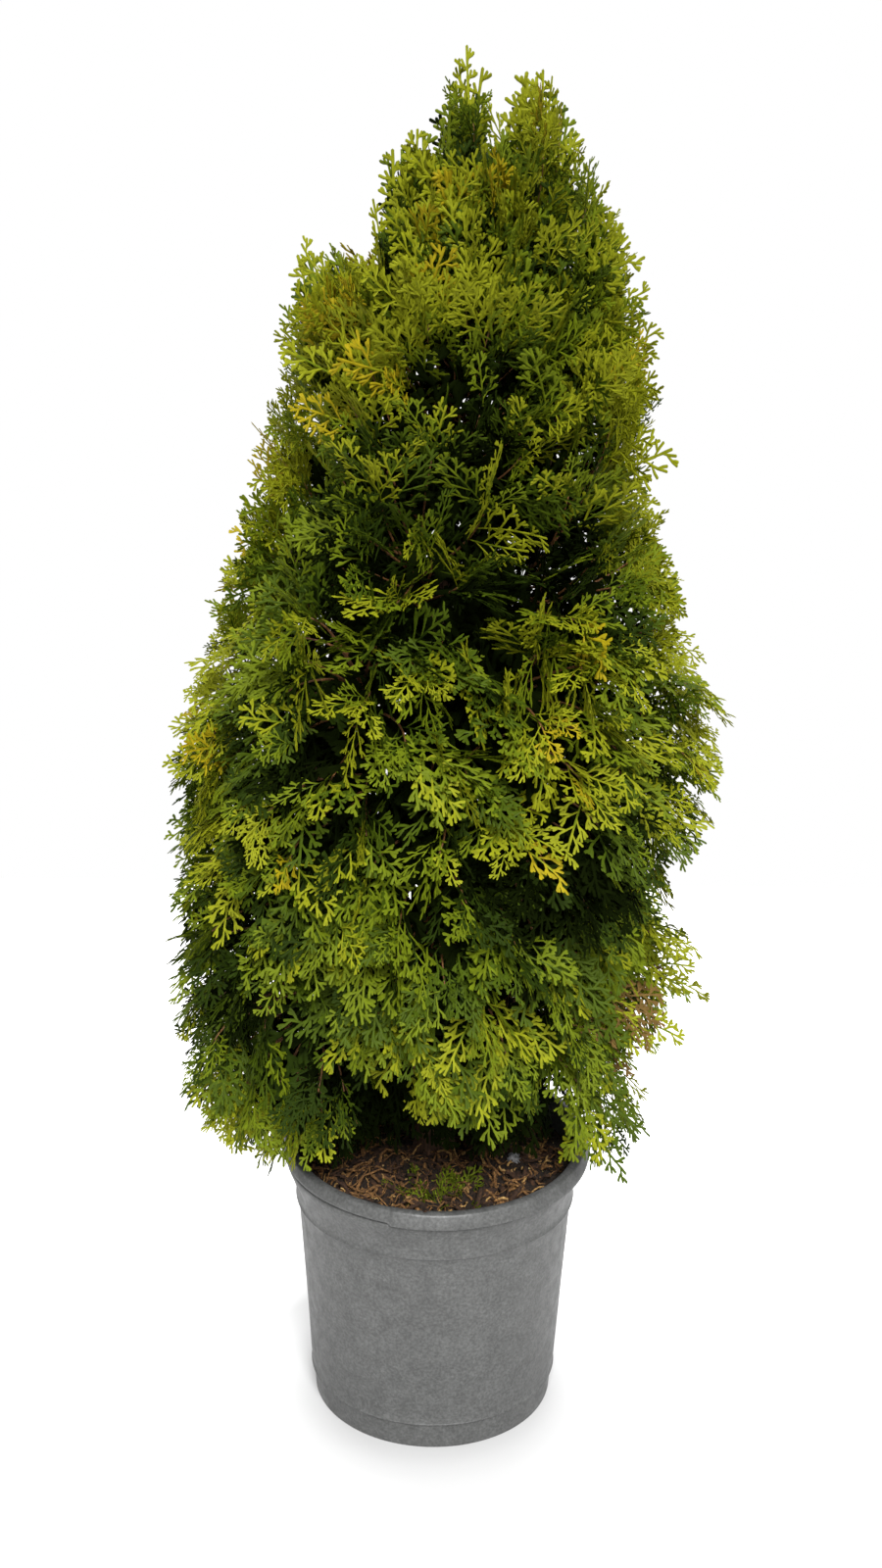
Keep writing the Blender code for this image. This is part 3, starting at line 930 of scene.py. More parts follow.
PATTERNS = {
    Kind.LONG: PatternRange(0, 9, SprayPattern(sides=8, width=0.037)),
    Kind.SHORT: PatternRange(9, 6, SprayPattern(sides=6, width=0.053, axis_parts=4)),
    Kind.SMALL: PatternRange(15, 5, SprayPattern(sides=4, width=0.078, axis_parts=3)),
    Kind.HEART: PatternRange(20, 4, SprayPattern(sides=7, width=0.058, axis_parts=3)),
    Kind.LEADER: PatternRange(
        24, 6, SprayPattern(sides=12, width=0.029, reach=0.16, stub=0.066, angle=46.0, fork_reach=0.070)
    ),
}


@dataclass(frozen=True)
class Flush:
    """A round place on the crown's front where sprays are more golden, or less if its strength is negative."""

    x: float
    z: float
    radius: float
    strength: float

    def pull(self, points: Array) -> Array:
        """Its pull on points: strength exp(-d^2 / radius^2) at distance d, seen from the front."""
        far = (points[:, 0] - self.x) ** 2 + (points[:, 2] - self.z) ** 2
        return self.strength * np.exp(-far / self.radius**2)


@dataclass
class Bounds:
    """Where foliage may be: clear of the pot, over the crown's hem, within its outline and under its skyline.

    The outline's rows are height, left and right limit, and the skyline's are x and height, in millimetres.
    """

    crown: Crown
    pot: PotSizes
    pot_room: float = 0.006
    beside_pot: float = 0.20
    hollow_scale: float = 7.5
    hollow_squash: tuple = (1.0, 1.0, 0.7)
    hollow_full: float = 0.9
    hollow_seed: int = 6
    leader_room: float = 0.036
    leader_heights: tuple = (1.02, 1.10)
    hull_heights: tuple = (0.30, 0.45, 0.62, 0.70, 0.80, 0.90, 1.00, 1.05, 1.10, 1.17, 1.22)
    hull_radii: tuple = (0.190, 0.225, 0.243, 0.235, 0.205, 0.172, 0.155, 0.150, 0.112, 0.072, 0.040)
    hem_angles: tuple = (
        0, 45, 135, 180, 193, 203, 215, 225, 235, 241, 245, 258, 264, 272, 281, 287, 295, 303, 311, 320, 328, 343, 360,
    )
    hem_heights: tuple = (
        0.336, 0.280, 0.270, 0.272, 0.262, 0.257, 0.262, 0.272, 0.294, 0.326, 0.372, 0.384, 0.350, 0.342, 0.336, 0.316,
        0.330, 0.352, 0.344, 0.334, 0.322, 0.332, 0.336,
    )
    hem_start: float = 0.165
    hem_rise: float = 0.8
    outline: tuple = (
        (260, -180, 150), (300, -205, 165), (330, -224, 170), (360, -234, 196), (390, -232, 214), (420, -243, 223),
        (445, -234, 212), (475, -247, 209), (500, -238, 213), (535, -244, 212), (560, -248, 234), (590, -246, 248),
        (615, -241, 252), (645, -234, 265), (670, -239, 259), (700, -226, 248), (725, -211, 226), (750, -203, 220),
        (775, -205, 215), (800, -192, 208), (830, -184, 194), (855, -176, 199), (880, -166, 174), (905, -162, 173),
        (930, -168, 180), (955, -145, 185), (980, -140, 166), (1005, -135, 171), (1030, -133, 173), (1050, -128, 167),
        (1240, -120, 150),
    )
    skyline: tuple = (
        (-130, 1040), (-118, 1077), (-90, 1074), (-70, 1068), (-57, 1052), (-50, 1107), (-45, 1138), (-39, 1159),
        (-25, 1172), (-13, 1168), (-5, 1193), (1, 1212), (14, 1239), (25, 1225), (33, 1201), (37, 1178), (50, 1174),
        (55, 1197), (58, 1218), (67, 1221), (77, 1222), (88, 1216), (99, 1190), (110, 1173), (122, 1138), (133, 1130),
        (145, 1112), (157, 1092), (166, 1056), (174, 1028),
    )

    def limits(self, points: Array) -> tuple[Array, Array, Array, Array]:
        """How far the crown reaches down and up at points, and to the left and right.

        The hem is a height at each angle round the pot, and rises outwards. The outline is a left and a
        right limit at each height, and the skyline a height at each x.

        Args:
            points: places in the crown.

        Returns:
            The lowest and highest height and the least and greatest x there.
        """
        x, y, z = (points[..., i] for i in range(3))
        angle = np.degrees(np.arctan2(y, x)) % 360.0
        rise = self.hem_rise * np.maximum(np.hypot(x, y) - self.hem_start, 0.0)
        low = np.interp(angle, self.hem_angles, self.hem_heights) + rise
        high = np.interp(x, *np.array(self.skyline).T / PER_METRE)
        heights, left, right = np.array(self.outline).T / PER_METRE
        return low, high, np.interp(z, heights, left), np.interp(z, heights, right)

    def allow(self, points: Array, most: float, bounded: bool = True, inset: Array | float = 0.0) -> Array:
        """Whether points are clear of the pot and its soil, and within the crown.

        Args:
            points: points to test.
            most: how full a mass may be there.
            bounded: tests the crown's hem, outline and skyline too.
            inset: how far inside these the points must be.

        Returns:
            One truth value a point.
        """
        x, y, z = (points[..., i] for i in range(3))
        clear = z > self.pot.rim_top + self.pot.rim_warp + self.pot_room
        clear |= (np.hypot(x, y) > self.pot.rim_radius + self.pot_room) & (z > self.beside_pot)
        inside = clear & (self.crown.fullness(points) < most)
        if not bounded:
            return inside
        low, high, left, right = self.limits(points)
        within = (z > low + inset) & (z < high - inset)
        return inside & within & (x > left + inset) & (x < right - inset)

    def hollow(self, points: Array) -> Array:
        """How deep a hollow of the crown's skin is at points, from 0 to 1: the troughs of slow waves."""
        waves = ripple(points * np.array(self.hollow_squash), self.hollow_scale, self.hollow_seed)
        return smooth_share(-waves, 0.0, self.hollow_full)

    def hull_radius(self, heights: Array) -> Array:
        """Radius of the crown's smooth hull at heights."""
        return np.interp(heights, self.hull_heights, self.hull_radii)

    def hull_share(self, points: Array) -> Array:
        """How far out points lie in the crown's smooth hull: 0 on its axis and 1 on the hull."""
        level = (points - self.crown.axis(points[..., 2]))[..., :2]
        return np.linalg.norm(level, axis=-1) / self.hull_radius(points[..., 2])

    def leader_gap(self, points: Array) -> Array:
        """How far other sprays keep under the skyline at points, so that the leaders stand out of them."""
        return self.leader_room * smooth_share(points[:, 2], *self.leader_heights)


@dataclass
class TintRule:
    """Deals tints out to the sprays: dark inside, as painted shade that is partly the real greener inner foliage, and
    in hollows as painted shade; lighter on the flanks as painted light; green low down; golden at tips and in flushes.
    """

    bounds: Bounds
    steps: tuple = (-1.10, -0.45, 0.25, 1.00, 2.25)
    share_gain: float = 11.0
    share_zero: float = 0.915
    share_top: float = 1.02
    hull_lift: float = 0.09
    fringe_radii: tuple = (0.10, 0.15)
    fringe_fall: float = 0.9
    edge_fall: float = 2.6
    mood_gain: float = 0.30
    scatter: float = 0.42
    heights: tuple = (0.30, 0.45, 0.60, 0.75, 0.90, 1.05, 1.15, 1.22)
    shifts: tuple = (-0.90, -0.60, -0.42, -0.10, 0.30, -0.22, 0.50, 1.20)
    drift: float = 0.22
    drift_scale: float = 5.0
    drift_seed: int = 5
    # The hollow term paints shade into the crown's hollows, and the side terms paint light on its flanks.
    hollow_loss: float = 0.5
    side_shift: float = 0.70
    side_shares: tuple = (0.55, 1.0)
    side_heights: tuple = (0.40, 0.60)
    side_gains: tuple = (0.3, 1.0)
    greenest: float = 1.30
    front_depths: tuple = (-0.02, 0.06)
    rim_gains: tuple = (0.20, 1.05)
    flushes: tuple = (
        Flush(0.024, 1.103, 0.019, 1.0), Flush(0.010, 1.025, 0.017, 1.1), Flush(-0.086, 1.044, 0.032, 0.8),
        Flush(-0.048, 0.965, 0.028, 1.0), Flush(0.076, 1.181, 0.030, 0.8), Flush(-0.129, 0.899, 0.030, 0.8),
        Flush(-0.008, 0.840, 0.028, 1.5), Flush(0.072, 0.746, 0.045, 1.9), Flush(0.119, 0.672, 0.045, 1.8),
        Flush(-0.013, 0.564, 0.028, 1.4), Flush(0.080, 0.448, 0.022, 1.4), Flush(0.043, 0.499, 0.022, 0.9),
        Flush(-0.132, 0.623, 0.022, 1.1), Flush(0.149, 0.955, 0.024, 0.1), Flush(-0.115, 0.736, 0.034, 0.7),
        # The flush at x -0.190, z 0.652 lightens a small dark recess: painted light.
        Flush(-0.190, 0.652, 0.050, 0.2), Flush(-0.010, 0.790, 0.070, 0.4), Flush(0.165, 0.300, 0.070, -0.5),
        Flush(0.085, 0.930, 0.055, -0.4), Flush(-0.030, 1.010, 0.030, -0.5), Flush(0.050, 1.020, 0.045, -0.5),
        Flush(-0.040, 0.470, 0.045, -0.6), Flush(0.010, 0.900, 0.030, -0.6),
    )
    withered: Flush = Flush(0.178, 0.425, 0.026, 0.45)

    def openness(self, points: Array) -> Array:
        """How far out points lie, by the most of three measures, from about 0 at the heart to 1 in the open.

        Args:
            points: middles of sprays.

        Returns:
            The most of: fullness within mass and hull, nearness to the hem, and nearness to the silhouette.
        """
        x, y, z = points.T
        low, high, left, right = self.bounds.limits(points)
        fringe = smooth_share(np.hypot(x, y), *self.fringe_radii) * (self.share_top - self.fringe_fall * (z - low))
        edge = 1.0 - self.edge_fall * np.minimum.reduce([high - z, x - left, right - x])
        inner = np.minimum(self.bounds.crown.fullness(points), self.hull_lift + self.bounds.hull_share(points))
        return np.maximum.reduce([inner, fringe, edge])

    def score(self, points: Array, mood: Array, front: Array, dice: Dice) -> Array:
        """How golden sprays are: openness, mood, height, slow drift, hollows, sides and flushes added up.

        Args:
            points: middles of sprays.
            mood: a number that a shoot's sprays share.
            front: 1 at the crown's front, 0 at its back.
            dice: the random source.

        Returns:
            One score a spray.
        """
        # Sprays deep inside the crown score low and take the dark tints: painted shade, partly the real greener inner
        # foliage.
        share = np.minimum(self.openness(points), self.share_top)
        score = self.share_gain * (share - self.share_zero) + self.mood_gain * mood
        score = score + dice.normal(0.0, self.scatter, len(points))
        score += np.interp(points[:, 2], self.heights, self.shifts)
        waves = ripple(points, self.drift_scale, self.drift_seed)
        # Sprays in hollows of the skin score lower: painted shade.
        score += self.drift * waves - self.hollow_loss * self.bounds.hollow(points)
        # Sprays towards the crown's sides score higher, more so higher up: painted light on the flanks.
        aside = np.abs(points[:, 0] - self.bounds.crown.axis(points[:, 2])[:, 0])
        aside /= self.bounds.hull_radius(points[:, 2])
        gain = np.interp(points[:, 2], self.side_heights, self.side_gains)
        score += self.side_shift * smooth_share(aside, *self.side_shares) * gain
        score = np.minimum(score, self.greenest)
        for flush in self.flushes:
            score += flush.pull(points) * front
        return score

    def tints(self, points: Array, mood: Array, dice: Dice) -> Array:
        """Tints of sprays: each one's axis by its score, its rim by a lighter one, and some withered.

        Args:
            points: middles of sprays.
            mood: a number that a shoot's sprays share.
            dice: the random source.

        Returns:
            sprays x 2 tint numbers, for axis and rim.
        """
        front = smooth_share(-points[:, 1], *self.front_depths)
        score = self.score(points, mood, front, dice)
        rim = score + dice.uniform(*self.rim_gains, len(points))
        tints = np.stack([np.digitize(score, self.steps), np.digitize(rim, self.steps)], axis=-1)
        tints[dice.random(len(points)) < self.withered.pull(points) * front] = Tint.RUST.value
        return tints


@dataclass
class Foliage:
    """Shoots and sprays of the whole crown. Peaks are x, y, z and spread, and strays two points, in millimetres."""

    bounds: Bounds
    tinting: TintRule
    seed: int = 5
    scale_base: float = 0.62
    scale_gain: float = 0.38
    widest_mass: float = 0.12
    shoot_area: float = 0.0037
    tip_depth: float = 0.20
    tip_spread: float = 1.6
    tip_skin: float = 1.04
    open_wall: float = 0.88
    hollow_depth: float = 0.11
    edge_room: float = 0.004
    most_moved: float = 0.180
    loose: float = 0.020
    loose_spread: float = 1.5
    fillers: int = 760
    filler_low: float = 0.40
    filler_high: float = 1.13
    filler_reach: tuple = (0.93, 0.13)
    filler_gap: float = 1.04
    filler_skin: float = 1.75
    swing: float = 40.0
    growth_noise: float = 0.16
    stem_shares: tuple = (0.6, 0.4, 0.45)
    stem_reach: tuple = (0.8, 0.9)
    stem_noise: float = 0.003
    shoot_bend: float = 0.45
    shoot_rows: int = 7
    shoot_sides: int = 5
    shoot_end: float = 0.80
    shoot_radii: tuple = (0.0014, 0.0006)
    slim_heights: tuple = (0.90, 1.12)
    slim_shares: tuple = (1.0, 0.55)
    sprays_per_shoot: int = 8
    fewest_sprays: int = 3
    spray_places: tuple = (0.40, 0.93, 0.03)
    end_share: float = 0.8
    end_places: tuple = (0.3, 0.9)
    long_spray: float = 0.074
    short_spray: float = 0.052
    smallest_spray: float = 0.020
    spray_sizes: tuple = (0.80, 1.16)
    facing_rise: float = 0.45
    facing_heights: tuple = (0.90, 1.05)
    facing_noise: tuple = (0.30, 0.85)
    shoot_roll: float = 38.0
    spray_roll: float = 20.0
    branch_angle: float = 38.0
    branch_noise: float = 9.0
    end_noise: float = 8.0
    spray_tilt: float = 0.10
    droop_heights: tuple = (0.30, 0.75, 1.05)
    droops: tuple = (-0.26, -0.12, 0.10)
    cups: tuple = (-0.35, 0.10)
    short_below: float = 0.055
    small_below: float = 0.036
    over_skin: float = 1.07
    overhang: float = 0.004
    fit_rounds: int = 5
    fit_shrink: float = 0.86
    probe: tuple = (0.5, 0.28)
    middle: float = 0.6
    heart_area: float = 0.0030
    heart_cover: float = 0.36
    heart_depths: tuple = (0.42, 0.66)
    heart_wall: float = 0.95
    heart_squash: tuple = (1.0, 1.0, 0.6)
    heart_noise: float = 0.25
    heart_swing: float = 0.8
    heart_spray: float = 0.100
    heart_sizes: tuple = (0.8, 1.15)
    heart_lighter: float = 0.15
    heart_skin: float = 0.93
    heart_top: float = 1.06
    heart_room: float = 0.035
    thatch_sprays: int = 260
    thatch_radii: tuple = (0.024, 0.085)
    thatch_sizes: tuple = (0.040, 0.066)
    thatch_low: float = 0.270
    thatch_depth: float = 0.075
    thatch_front: float = 0.045
    thatch_rise: float = 0.46
    thatch_reach: float = 0.118
    thatch_splay: float = 0.35
    thatch_noise: tuple = (0.22, 0.35)
    leaders_per_peak: int = 4
    leader_spray: float = 0.108
    leader_sizes: tuple = (0.85, 1.15)
    leader_drops: tuple = (0.004, 0.045)
    leader_middle: float = 0.03
    leader_lean: tuple = (1.6, 1.2, 4.0)
    leader_noise: float = 0.05
    leader_turns: tuple = (0.45, 1.1)
    leader_moods: tuple = (1.0, 0.7)
    leader_skin: float = 3.0
    peaks: tuple = (
        (14, 0, 1238, 9), (6, 8, 1212, 8), (26, -6, 1220, 8), (64, 4, 1219, 8), (80, 0, 1220, 9), (90, 8, 1205, 9),
        (104, 0, 1172, 9), (-22, 0, 1171, 11), (-39, 4, 1158, 9), (-46, 0, 1120, 10), (44, 0, 1174, 12),
        (120, 0, 1136, 11), (140, 0, 1110, 10), (146, 0, 1082, 8), (-114, -10, 1074, 10), (-88, -20, 1072, 12),
        (-74, 0, 1066, 10), (30, 40, 1150, 18), (80, 50, 1130, 18), (85, -45, 1130, 18), (20, -40, 1140, 18),
    )
    stray_scale: float = 0.85
    stray_skin: float = 1.9
    stray_bow: tuple = (0.03, 0.0, 0.04)
    strays: tuple = (
        ((60, -40, 470), (214, -40, 430)), ((60, 0, 460), (208, -5, 404)), ((70, -60, 440), (190, -70, 395)),
        ((50, -50, 500), (214, -50, 470)), ((80, -60, 400), (158, -80, 290)), ((80, -70, 390), (140, -105, 296)),
        ((80, -30, 400), (172, -52, 306)),
    )
    crown: Crown = field(init=False)
    dice: Dice = field(init=False)

    def __post_init__(self) -> None:
        """Takes the crown from its bounds and seeds the dice."""
        self.crown = self.bounds.crown
        self.dice = np.random.default_rng(self.seed)

    def scale(self, mass: Mass) -> float:
        """How large a mass's sprays are, against those of the widest masses."""
        return min(1.0, self.scale_base + self.scale_gain * mass.radius / self.widest_mass)

    def directions(self, mass: Mass, count: int) -> Array:
        """Unit directions spread evenly over a mass's skin by the golden angle.

        Args:
            mass: the mass.
            count: how many directions.

        Returns:
            count x 3 directions.
        """
        index = np.arange(count)
        up = 1.0 - 2.0 * (index + 0.5) / count
        angle = index * GOLDEN_ANGLE + self.dice.uniform(0.0, TURN)
        level = np.sqrt(1.0 - up * up)
        return unit(np.stack([level * np.cos(angle), level * np.sin(angle), up * mass.stretch], axis=-1))

    def filler_tips(self) -> Array:
        """Tips of the shoots that close the gaps between masses: places near the hull that no mass reaches.

        Returns:
            shoots x 3 points.
        """
        count = self.fillers
        run = (self.filler_high - self.filler_low) * (np.arange(count) + self.dice.random(count)) / count
        height = self.filler_low + run
        most, spread = self.filler_reach
        reach = self.bounds.hull_radius(height) * (most - spread * self.dice.random(count))
        tips = self.crown.axis(height) + level_ring(np.arange(count) * GOLDEN_ANGLE) * reach[:, None]
        return tips[(self.crown.fullness(tips) > self.filler_gap) & self.bounds.allow(tips, self.filler_skin)]

    def tips(self, mass: Mass) -> Array:
        """Tips of a mass's shoots, on or a little under the open part of its skin.

        Args:
            mass: the mass that they grow in.

        Returns:
            shoots x 3 points.
        """
        dice = self.dice
        count = int(mass.area() / (self.shoot_area * self.scale(mass) ** 2))
        directions = self.directions(mass, count)
        end, wall = mass.reaches(directions)
        depth = 1.0 - self.tip_depth * dice.random(count) ** self.tip_spread
        tips = mass.centre + directions * (end * depth)[:, None]
        sunk = 1.0 - self.hollow_depth * self.bounds.hollow(tips)
        tips = mass.centre + (tips - mass.centre) * sunk[:, None]
        low, high, left, right = self.bounds.limits(tips)
        inset = self.edge_room + self.loose * dice.random(count) ** self.loose_spread
        inset = inset + self.bounds.leader_gap(tips) * dice.random(count)
        moved = tips.copy()
        moved[:, 0] = np.clip(tips[:, 0], left + inset, right - inset)
        moved[:, 2] = np.clip(tips[:, 2], low + inset, high - inset)
        near = np.linalg.norm(moved - tips, axis=1) < self.most_moved * dice.random(count)
        return moved[near & (wall > end * self.open_wall) & self.bounds.allow(moved, self.tip_skin)]

    def shoots(self, mass: Mass, tips: Array) -> Array:
        """Curves of the shoots: from the mass's stem to each tip, ending in the growth direction there.

        Args:
            mass: the mass that they grow in.
            tips: where they end.

        Returns:
            shoots x 3 x 3 control points of quadratic curves.
        """
        dice = self.dice
        growth = self.crown.growth(tips, mass, np.radians(dice.normal(0.0, self.swing, len(tips))))
        growth = unit(growth + dice.normal(0.0, self.growth_noise, growth.shape))
        of_tip, of_mass, back = self.stem_shares
        height = of_tip * tips[:, 2] + of_mass * mass.centre[2] - back * mass.radius * growth[:, 2]
        down, up = self.stem_reach
        foot = np.repeat(mass.centre[None], len(tips), axis=0)
        foot[:, 2] = np.clip(height, mass.centre[2] - down * mass.radius, mass.centre[2] + up * mass.radius)
        foot[:, :2] += dice.normal(0.0, self.stem_noise, (len(tips), 2))
        length = np.linalg.norm(tips - foot, axis=1, keepdims=True)
        return np.stack([foot, tips - growth * length * self.shoot_bend, tips], axis=1)

    @staticmethod
    def on_curve(curves: Array, shares: Array) -> tuple[Array, Array]:
        """Points and unit tangents of quadratic curves, at (1-t)^2 a + 2 t (1-t) b + t^2 c.

        Args:
            curves: curves x 3 x 3 control points.
            shares: curves x places, from 0 to 1.

        Returns:
            Two arrays of curves x places x 3.
        """
        a, b, c = (curves[:, None, i] for i in range(3))
        t = shares[..., None]
        points = (1.0 - t) ** 2 * a + 2.0 * t * (1.0 - t) * b + t * t * c
        return points, unit(2.0 * (1.0 - t) * (b - a) + 2.0 * t * (c - b))

    def sprays(
        self, mass: Mass, curves: Array, most: float, scale: float = 1.0, bounded: bool = True
    ) -> tuple[SprayBatch, Array]:
        """The sprays of a mass's shoots: alternately to both sides of a shoot in its plane, and one at its end.

        Args:
            mass: the mass that they grow in.
            curves: the shoots' control points.
            most: how full a mass may be at them.
            scale: their size, against the usual one.
            bounded: keeps them within the crown's hem, outline and skyline.

        Returns:
            The sprays that fit the crown's space, and the shoots that carry enough of them.
        """
        dice, count, places = self.dice, len(curves), self.sprays_per_shoot + 1
        first, last, noise = self.spray_places
        shares = np.linspace(first, last, places)[None] + dice.uniform(-noise, noise, (count, places))
        run = np.linalg.norm(curves[:, 2] - curves[:, 0], axis=1)
        scale = scale * self.scale(mass)
        shares[:, -1] = np.clip(1.0 - self.end_share * self.short_spray * scale / run, *self.end_places)
        foot, tangent = self.on_curve(curves, shares)
        reach = np.interp(np.arange(places), [0, places - 1], [self.long_spray, self.short_spray])
        size = reach[None] * scale * dice.uniform(*self.spray_sizes, (count, places))
        noise = dice.normal(0.0, 1.0, foot.shape) * np.interp(foot[..., 2:], self.facing_heights, self.facing_noise)
        facing = self.crown.outward(foot, mass) + np.array([0.0, 0.0, self.facing_rise]) + noise
        normal = across(facing, tangent)
        roll = dice.normal(0.0, self.shoot_roll, (count, 1, 1)) + dice.normal(0.0, self.spray_roll, (count, places, 1))
        roll = np.radians(roll)
        normal = normal * np.cos(roll) + np.cross(normal, tangent) * np.sin(roll)
        turn = dice.uniform(-self.branch_noise, self.branch_noise, (count, places, 1))
        turn = np.radians(self.branch_angle + turn) * np.where(np.arange(places) % 2, 1.0, -1.0)[None, :, None]
        turn[:, -1] = np.radians(dice.uniform(-self.end_noise, self.end_noise, (count, 1)))
        along = tangent * np.cos(turn) + np.cross(normal, tangent) * np.sin(turn)
        along = unit(along + normal * dice.normal(0.0, self.spray_tilt, turn.shape))
        mood = np.repeat(dice.normal(0.0, 1.0, count), places)
        batch = self.batch(*(part.reshape(count * places, 3) for part in (foot, along, normal)), size.ravel())
        batch, stay = self.fitted(batch, mood, most, bounded)
        return batch, curves[np.bincount(stay // places, minlength=count) >= self.fewest_sprays]

    def batch(self, foot: Array, along: Array, normal: Array, size: Array) -> SprayBatch:
        """Sprays with axes made square, a droop that follows the height, and a pattern that suits their size.

        Args:
            foot: where each starts.
            along: its direction.
            normal: roughly the direction that it faces.
            size: its length.

        Returns:
            The sprays, not tinted yet.
        """
        count = len(foot)
        normal = across(normal, along)
        level = np.sqrt(np.clip(1.0 - along[:, 2] ** 2, 0.0, 1.0))
        droop = np.interp(foot[:, 2], self.droop_heights, self.droops) * level
        cup = self.dice.uniform(*self.cups, count)
        long, short, small = (PATTERNS[kind].drawn(self.dice, count) for kind in (Kind.LONG, Kind.SHORT, Kind.SMALL))
        pattern = np.where(size < self.short_below, np.where(size < self.small_below, small, short), long)
        tints = np.zeros((count, 2), int)
        return SprayBatch(foot, along, np.cross(normal, along), normal, size, droop, cup, pattern, tints)

    def fitted(self, batch: SprayBatch, mood: Array, most: float, bounded: bool = True) -> tuple[SprayBatch, Array]:
        """Shortens the sprays that would leave the crown's space, drops what still doesn't fit, and tints the rest.

        Args:
            batch: the sprays.
            mood: a number that a shoot's sprays share, for their tint.
            most: how full a mass may be at them.
            bounded: keeps them within the crown's hem, outline and skyline.

        Returns:
            The sprays that stay, and their numbers.
        """
        dice, column = self.dice, (len(batch.foot), 1)
        inset = self.loose * dice.random(column) ** self.loose_spread - self.overhang
        inset += self.bounds.leader_gap(batch.foot)[:, None] * dice.random(column)
        good = self.bounds.allow(batch.foot, most, bounded)
        run, aside = self.probe
        for _ in range(self.fit_rounds):
            tip = batch.along.copy()
            tip[:, 2] += batch.droop
            sides = [run * batch.along + hand * aside * batch.across for hand in (-1.0, 1.0)]
            probes = batch.foot[:, None] + batch.size[:, None, None] * np.stack([tip, *sides], axis=1)
            fits = self.bounds.allow(probes, most, bounded, inset).all(axis=1)
            batch.size = np.where(fits, batch.size, batch.size * self.fit_shrink)
        stay = np.flatnonzero(good & fits & (batch.size > self.smallest_spray))
        batch = batch.kept(stay)
        middle = batch.foot + batch.size[:, None] * self.middle * batch.along
        batch.tints = self.tinting.tints(middle, mood[stay], dice)
        return batch, stay

    def heart(self, mass: Mass) -> SprayBatch:
        """Dark sprays about the heart of a mass, which close it to sight: painted shade in the SHADE tint, a few in
        DEEP. They face out of it all round.

        Args:
            mass: the mass to fill.

        Returns:
            The sprays.
        """
        dice = self.dice
        count = int(mass.area() * self.heart_cover / self.heart_area)
        directions = self.directions(mass, count)
        end, wall = mass.reaches(directions)
        depth = np.minimum(end * dice.uniform(*self.heart_depths, count), wall * self.heart_wall)
        middle = mass.centre + directions * depth[:, None]
        noise = dice.normal(0.0, self.heart_noise, directions.shape)
        normal = unit(directions * np.array(self.heart_squash) + noise)
        growth = self.crown.growth(middle, mass, dice.normal(0.0, self.heart_swing, count))
        along = across(growth, normal)
        size = self.heart_spray * self.scale(mass) * dice.uniform(*self.heart_sizes, count)
        batch = self.batch(middle - along * size[:, None] * 0.5, along, normal, size)
        batch.pattern = PATTERNS[Kind.HEART].drawn(dice, count)
        # Most heart sprays take SHADE and a few DEEP: painted shade.
        batch.tints = np.repeat((dice.random(count) < self.heart_lighter).astype(int)[:, None], 2, axis=1)
        ends = np.stack([batch.foot, batch.foot + along * size[:, None]], axis=1)
        inside = self.bounds.allow(ends, self.heart_skin, True, self.heart_room).all(axis=1)
        return batch.kept(inside & (middle[:, 2] < self.heart_top))

    def thatch_raise(self, points: Array) -> Array:
        """How much higher the thatch starts at points towards the front, where the soil is open to sight."""
        return self.thatch_rise * np.maximum(-points[:, 1] - self.thatch_front, 0.0)

    def thatch(self) -> SprayBatch:
        """Dark sprays in the SHADE tint that hang about the foot of the trunk, under the lowest boughs: painted shade.

        Returns:
            The sprays.
        """
        dice, count = self.dice, self.thatch_sprays
        inner, spread = self.thatch_radii
        out = level_ring(dice.uniform(0.0, TURN, count))
        foot = out * (inner + spread * np.sqrt(dice.random(count)))[:, None]
        size = dice.uniform(*self.thatch_sizes, count)
        foot[:, 2] = self.thatch_low + size + self.thatch_depth * dice.random(count) + self.thatch_raise(foot)
        along_noise, normal_noise = self.thatch_noise
        along = unit(-UP + self.thatch_splay * out + dice.normal(0.0, along_noise, out.shape))
        normal = unit(out + dice.normal(0.0, normal_noise, out.shape))
        # These sprays keep the batch's tints of 0, SHADE: painted shade under the crown.
        batch = self.batch(foot, along, normal, size)
        batch.pattern = PATTERNS[Kind.SHORT].drawn(dice, count)
        tips = foot + along * size[:, None]
        above = tips[:, 2] > self.thatch_low + self.thatch_raise(tips)
        return batch.kept(above & (np.hypot(tips[:, 0], tips[:, 1]) < self.thatch_reach))

    def leaders(self) -> SprayBatch:
        """Long upright open sprays that end the crown at each of its peaks, turned all ways about the upright.

        The first spray of a peak stands at its point and faces the front. The others stand a little lower
        beside it and lean away from it.

        Returns:
            The sprays.
        """
        dice, each = self.dice, self.leaders_per_peak
        x, y, top, spread = np.repeat(np.array(self.peaks) / PER_METRE, each, axis=0).T
        count = len(x)
        first = (np.arange(count) % each == 0).astype(float)
        rest = 1.0 - first
        beside = dice.normal(0.0, 1.0, (2, count)) * spread * rest
        least, more = self.leader_drops
        drop = least + rest * more * dice.random(count)
        tip = np.stack([x + beside[0], y + beside[1], top - drop], axis=-1)
        lean_x, lean_y, lean_out = self.leader_lean
        across = lean_x * (x - self.leader_middle) + lean_out * beside[0]
        lean = np.stack([across, lean_y * y + lean_out * beside[1], np.ones(count)], axis=-1)
        along = unit(lean + dice.normal(0.0, self.leader_noise, lean.shape))
        size = self.leader_spray * dice.uniform(*self.leader_sizes, count)
        slight, wide = self.leader_turns
        angle = -0.25 * TURN + dice.normal(0.0, slight, count) * first + dice.uniform(-wide, wide, count) * rest
        batch = self.batch(tip - along * size[:, None], along, level_ring(angle), size)
        batch.pattern = PATTERNS[Kind.LEADER].drawn(dice, count)
        batch.droop[:] = 0.0
        return self.fitted(batch, dice.normal(*self.leader_moods, count), self.leader_skin, False)[0]

    def stray_shoots(self) -> Array:
        """Curves of the strays that hang out of the crown low on the right."""
        foot, tip = np.array(self.strays).transpose(1, 0, 2) / PER_METRE
        return np.stack([foot, 0.5 * (foot + tip) + np.array(self.stray_bow), tip], axis=1)

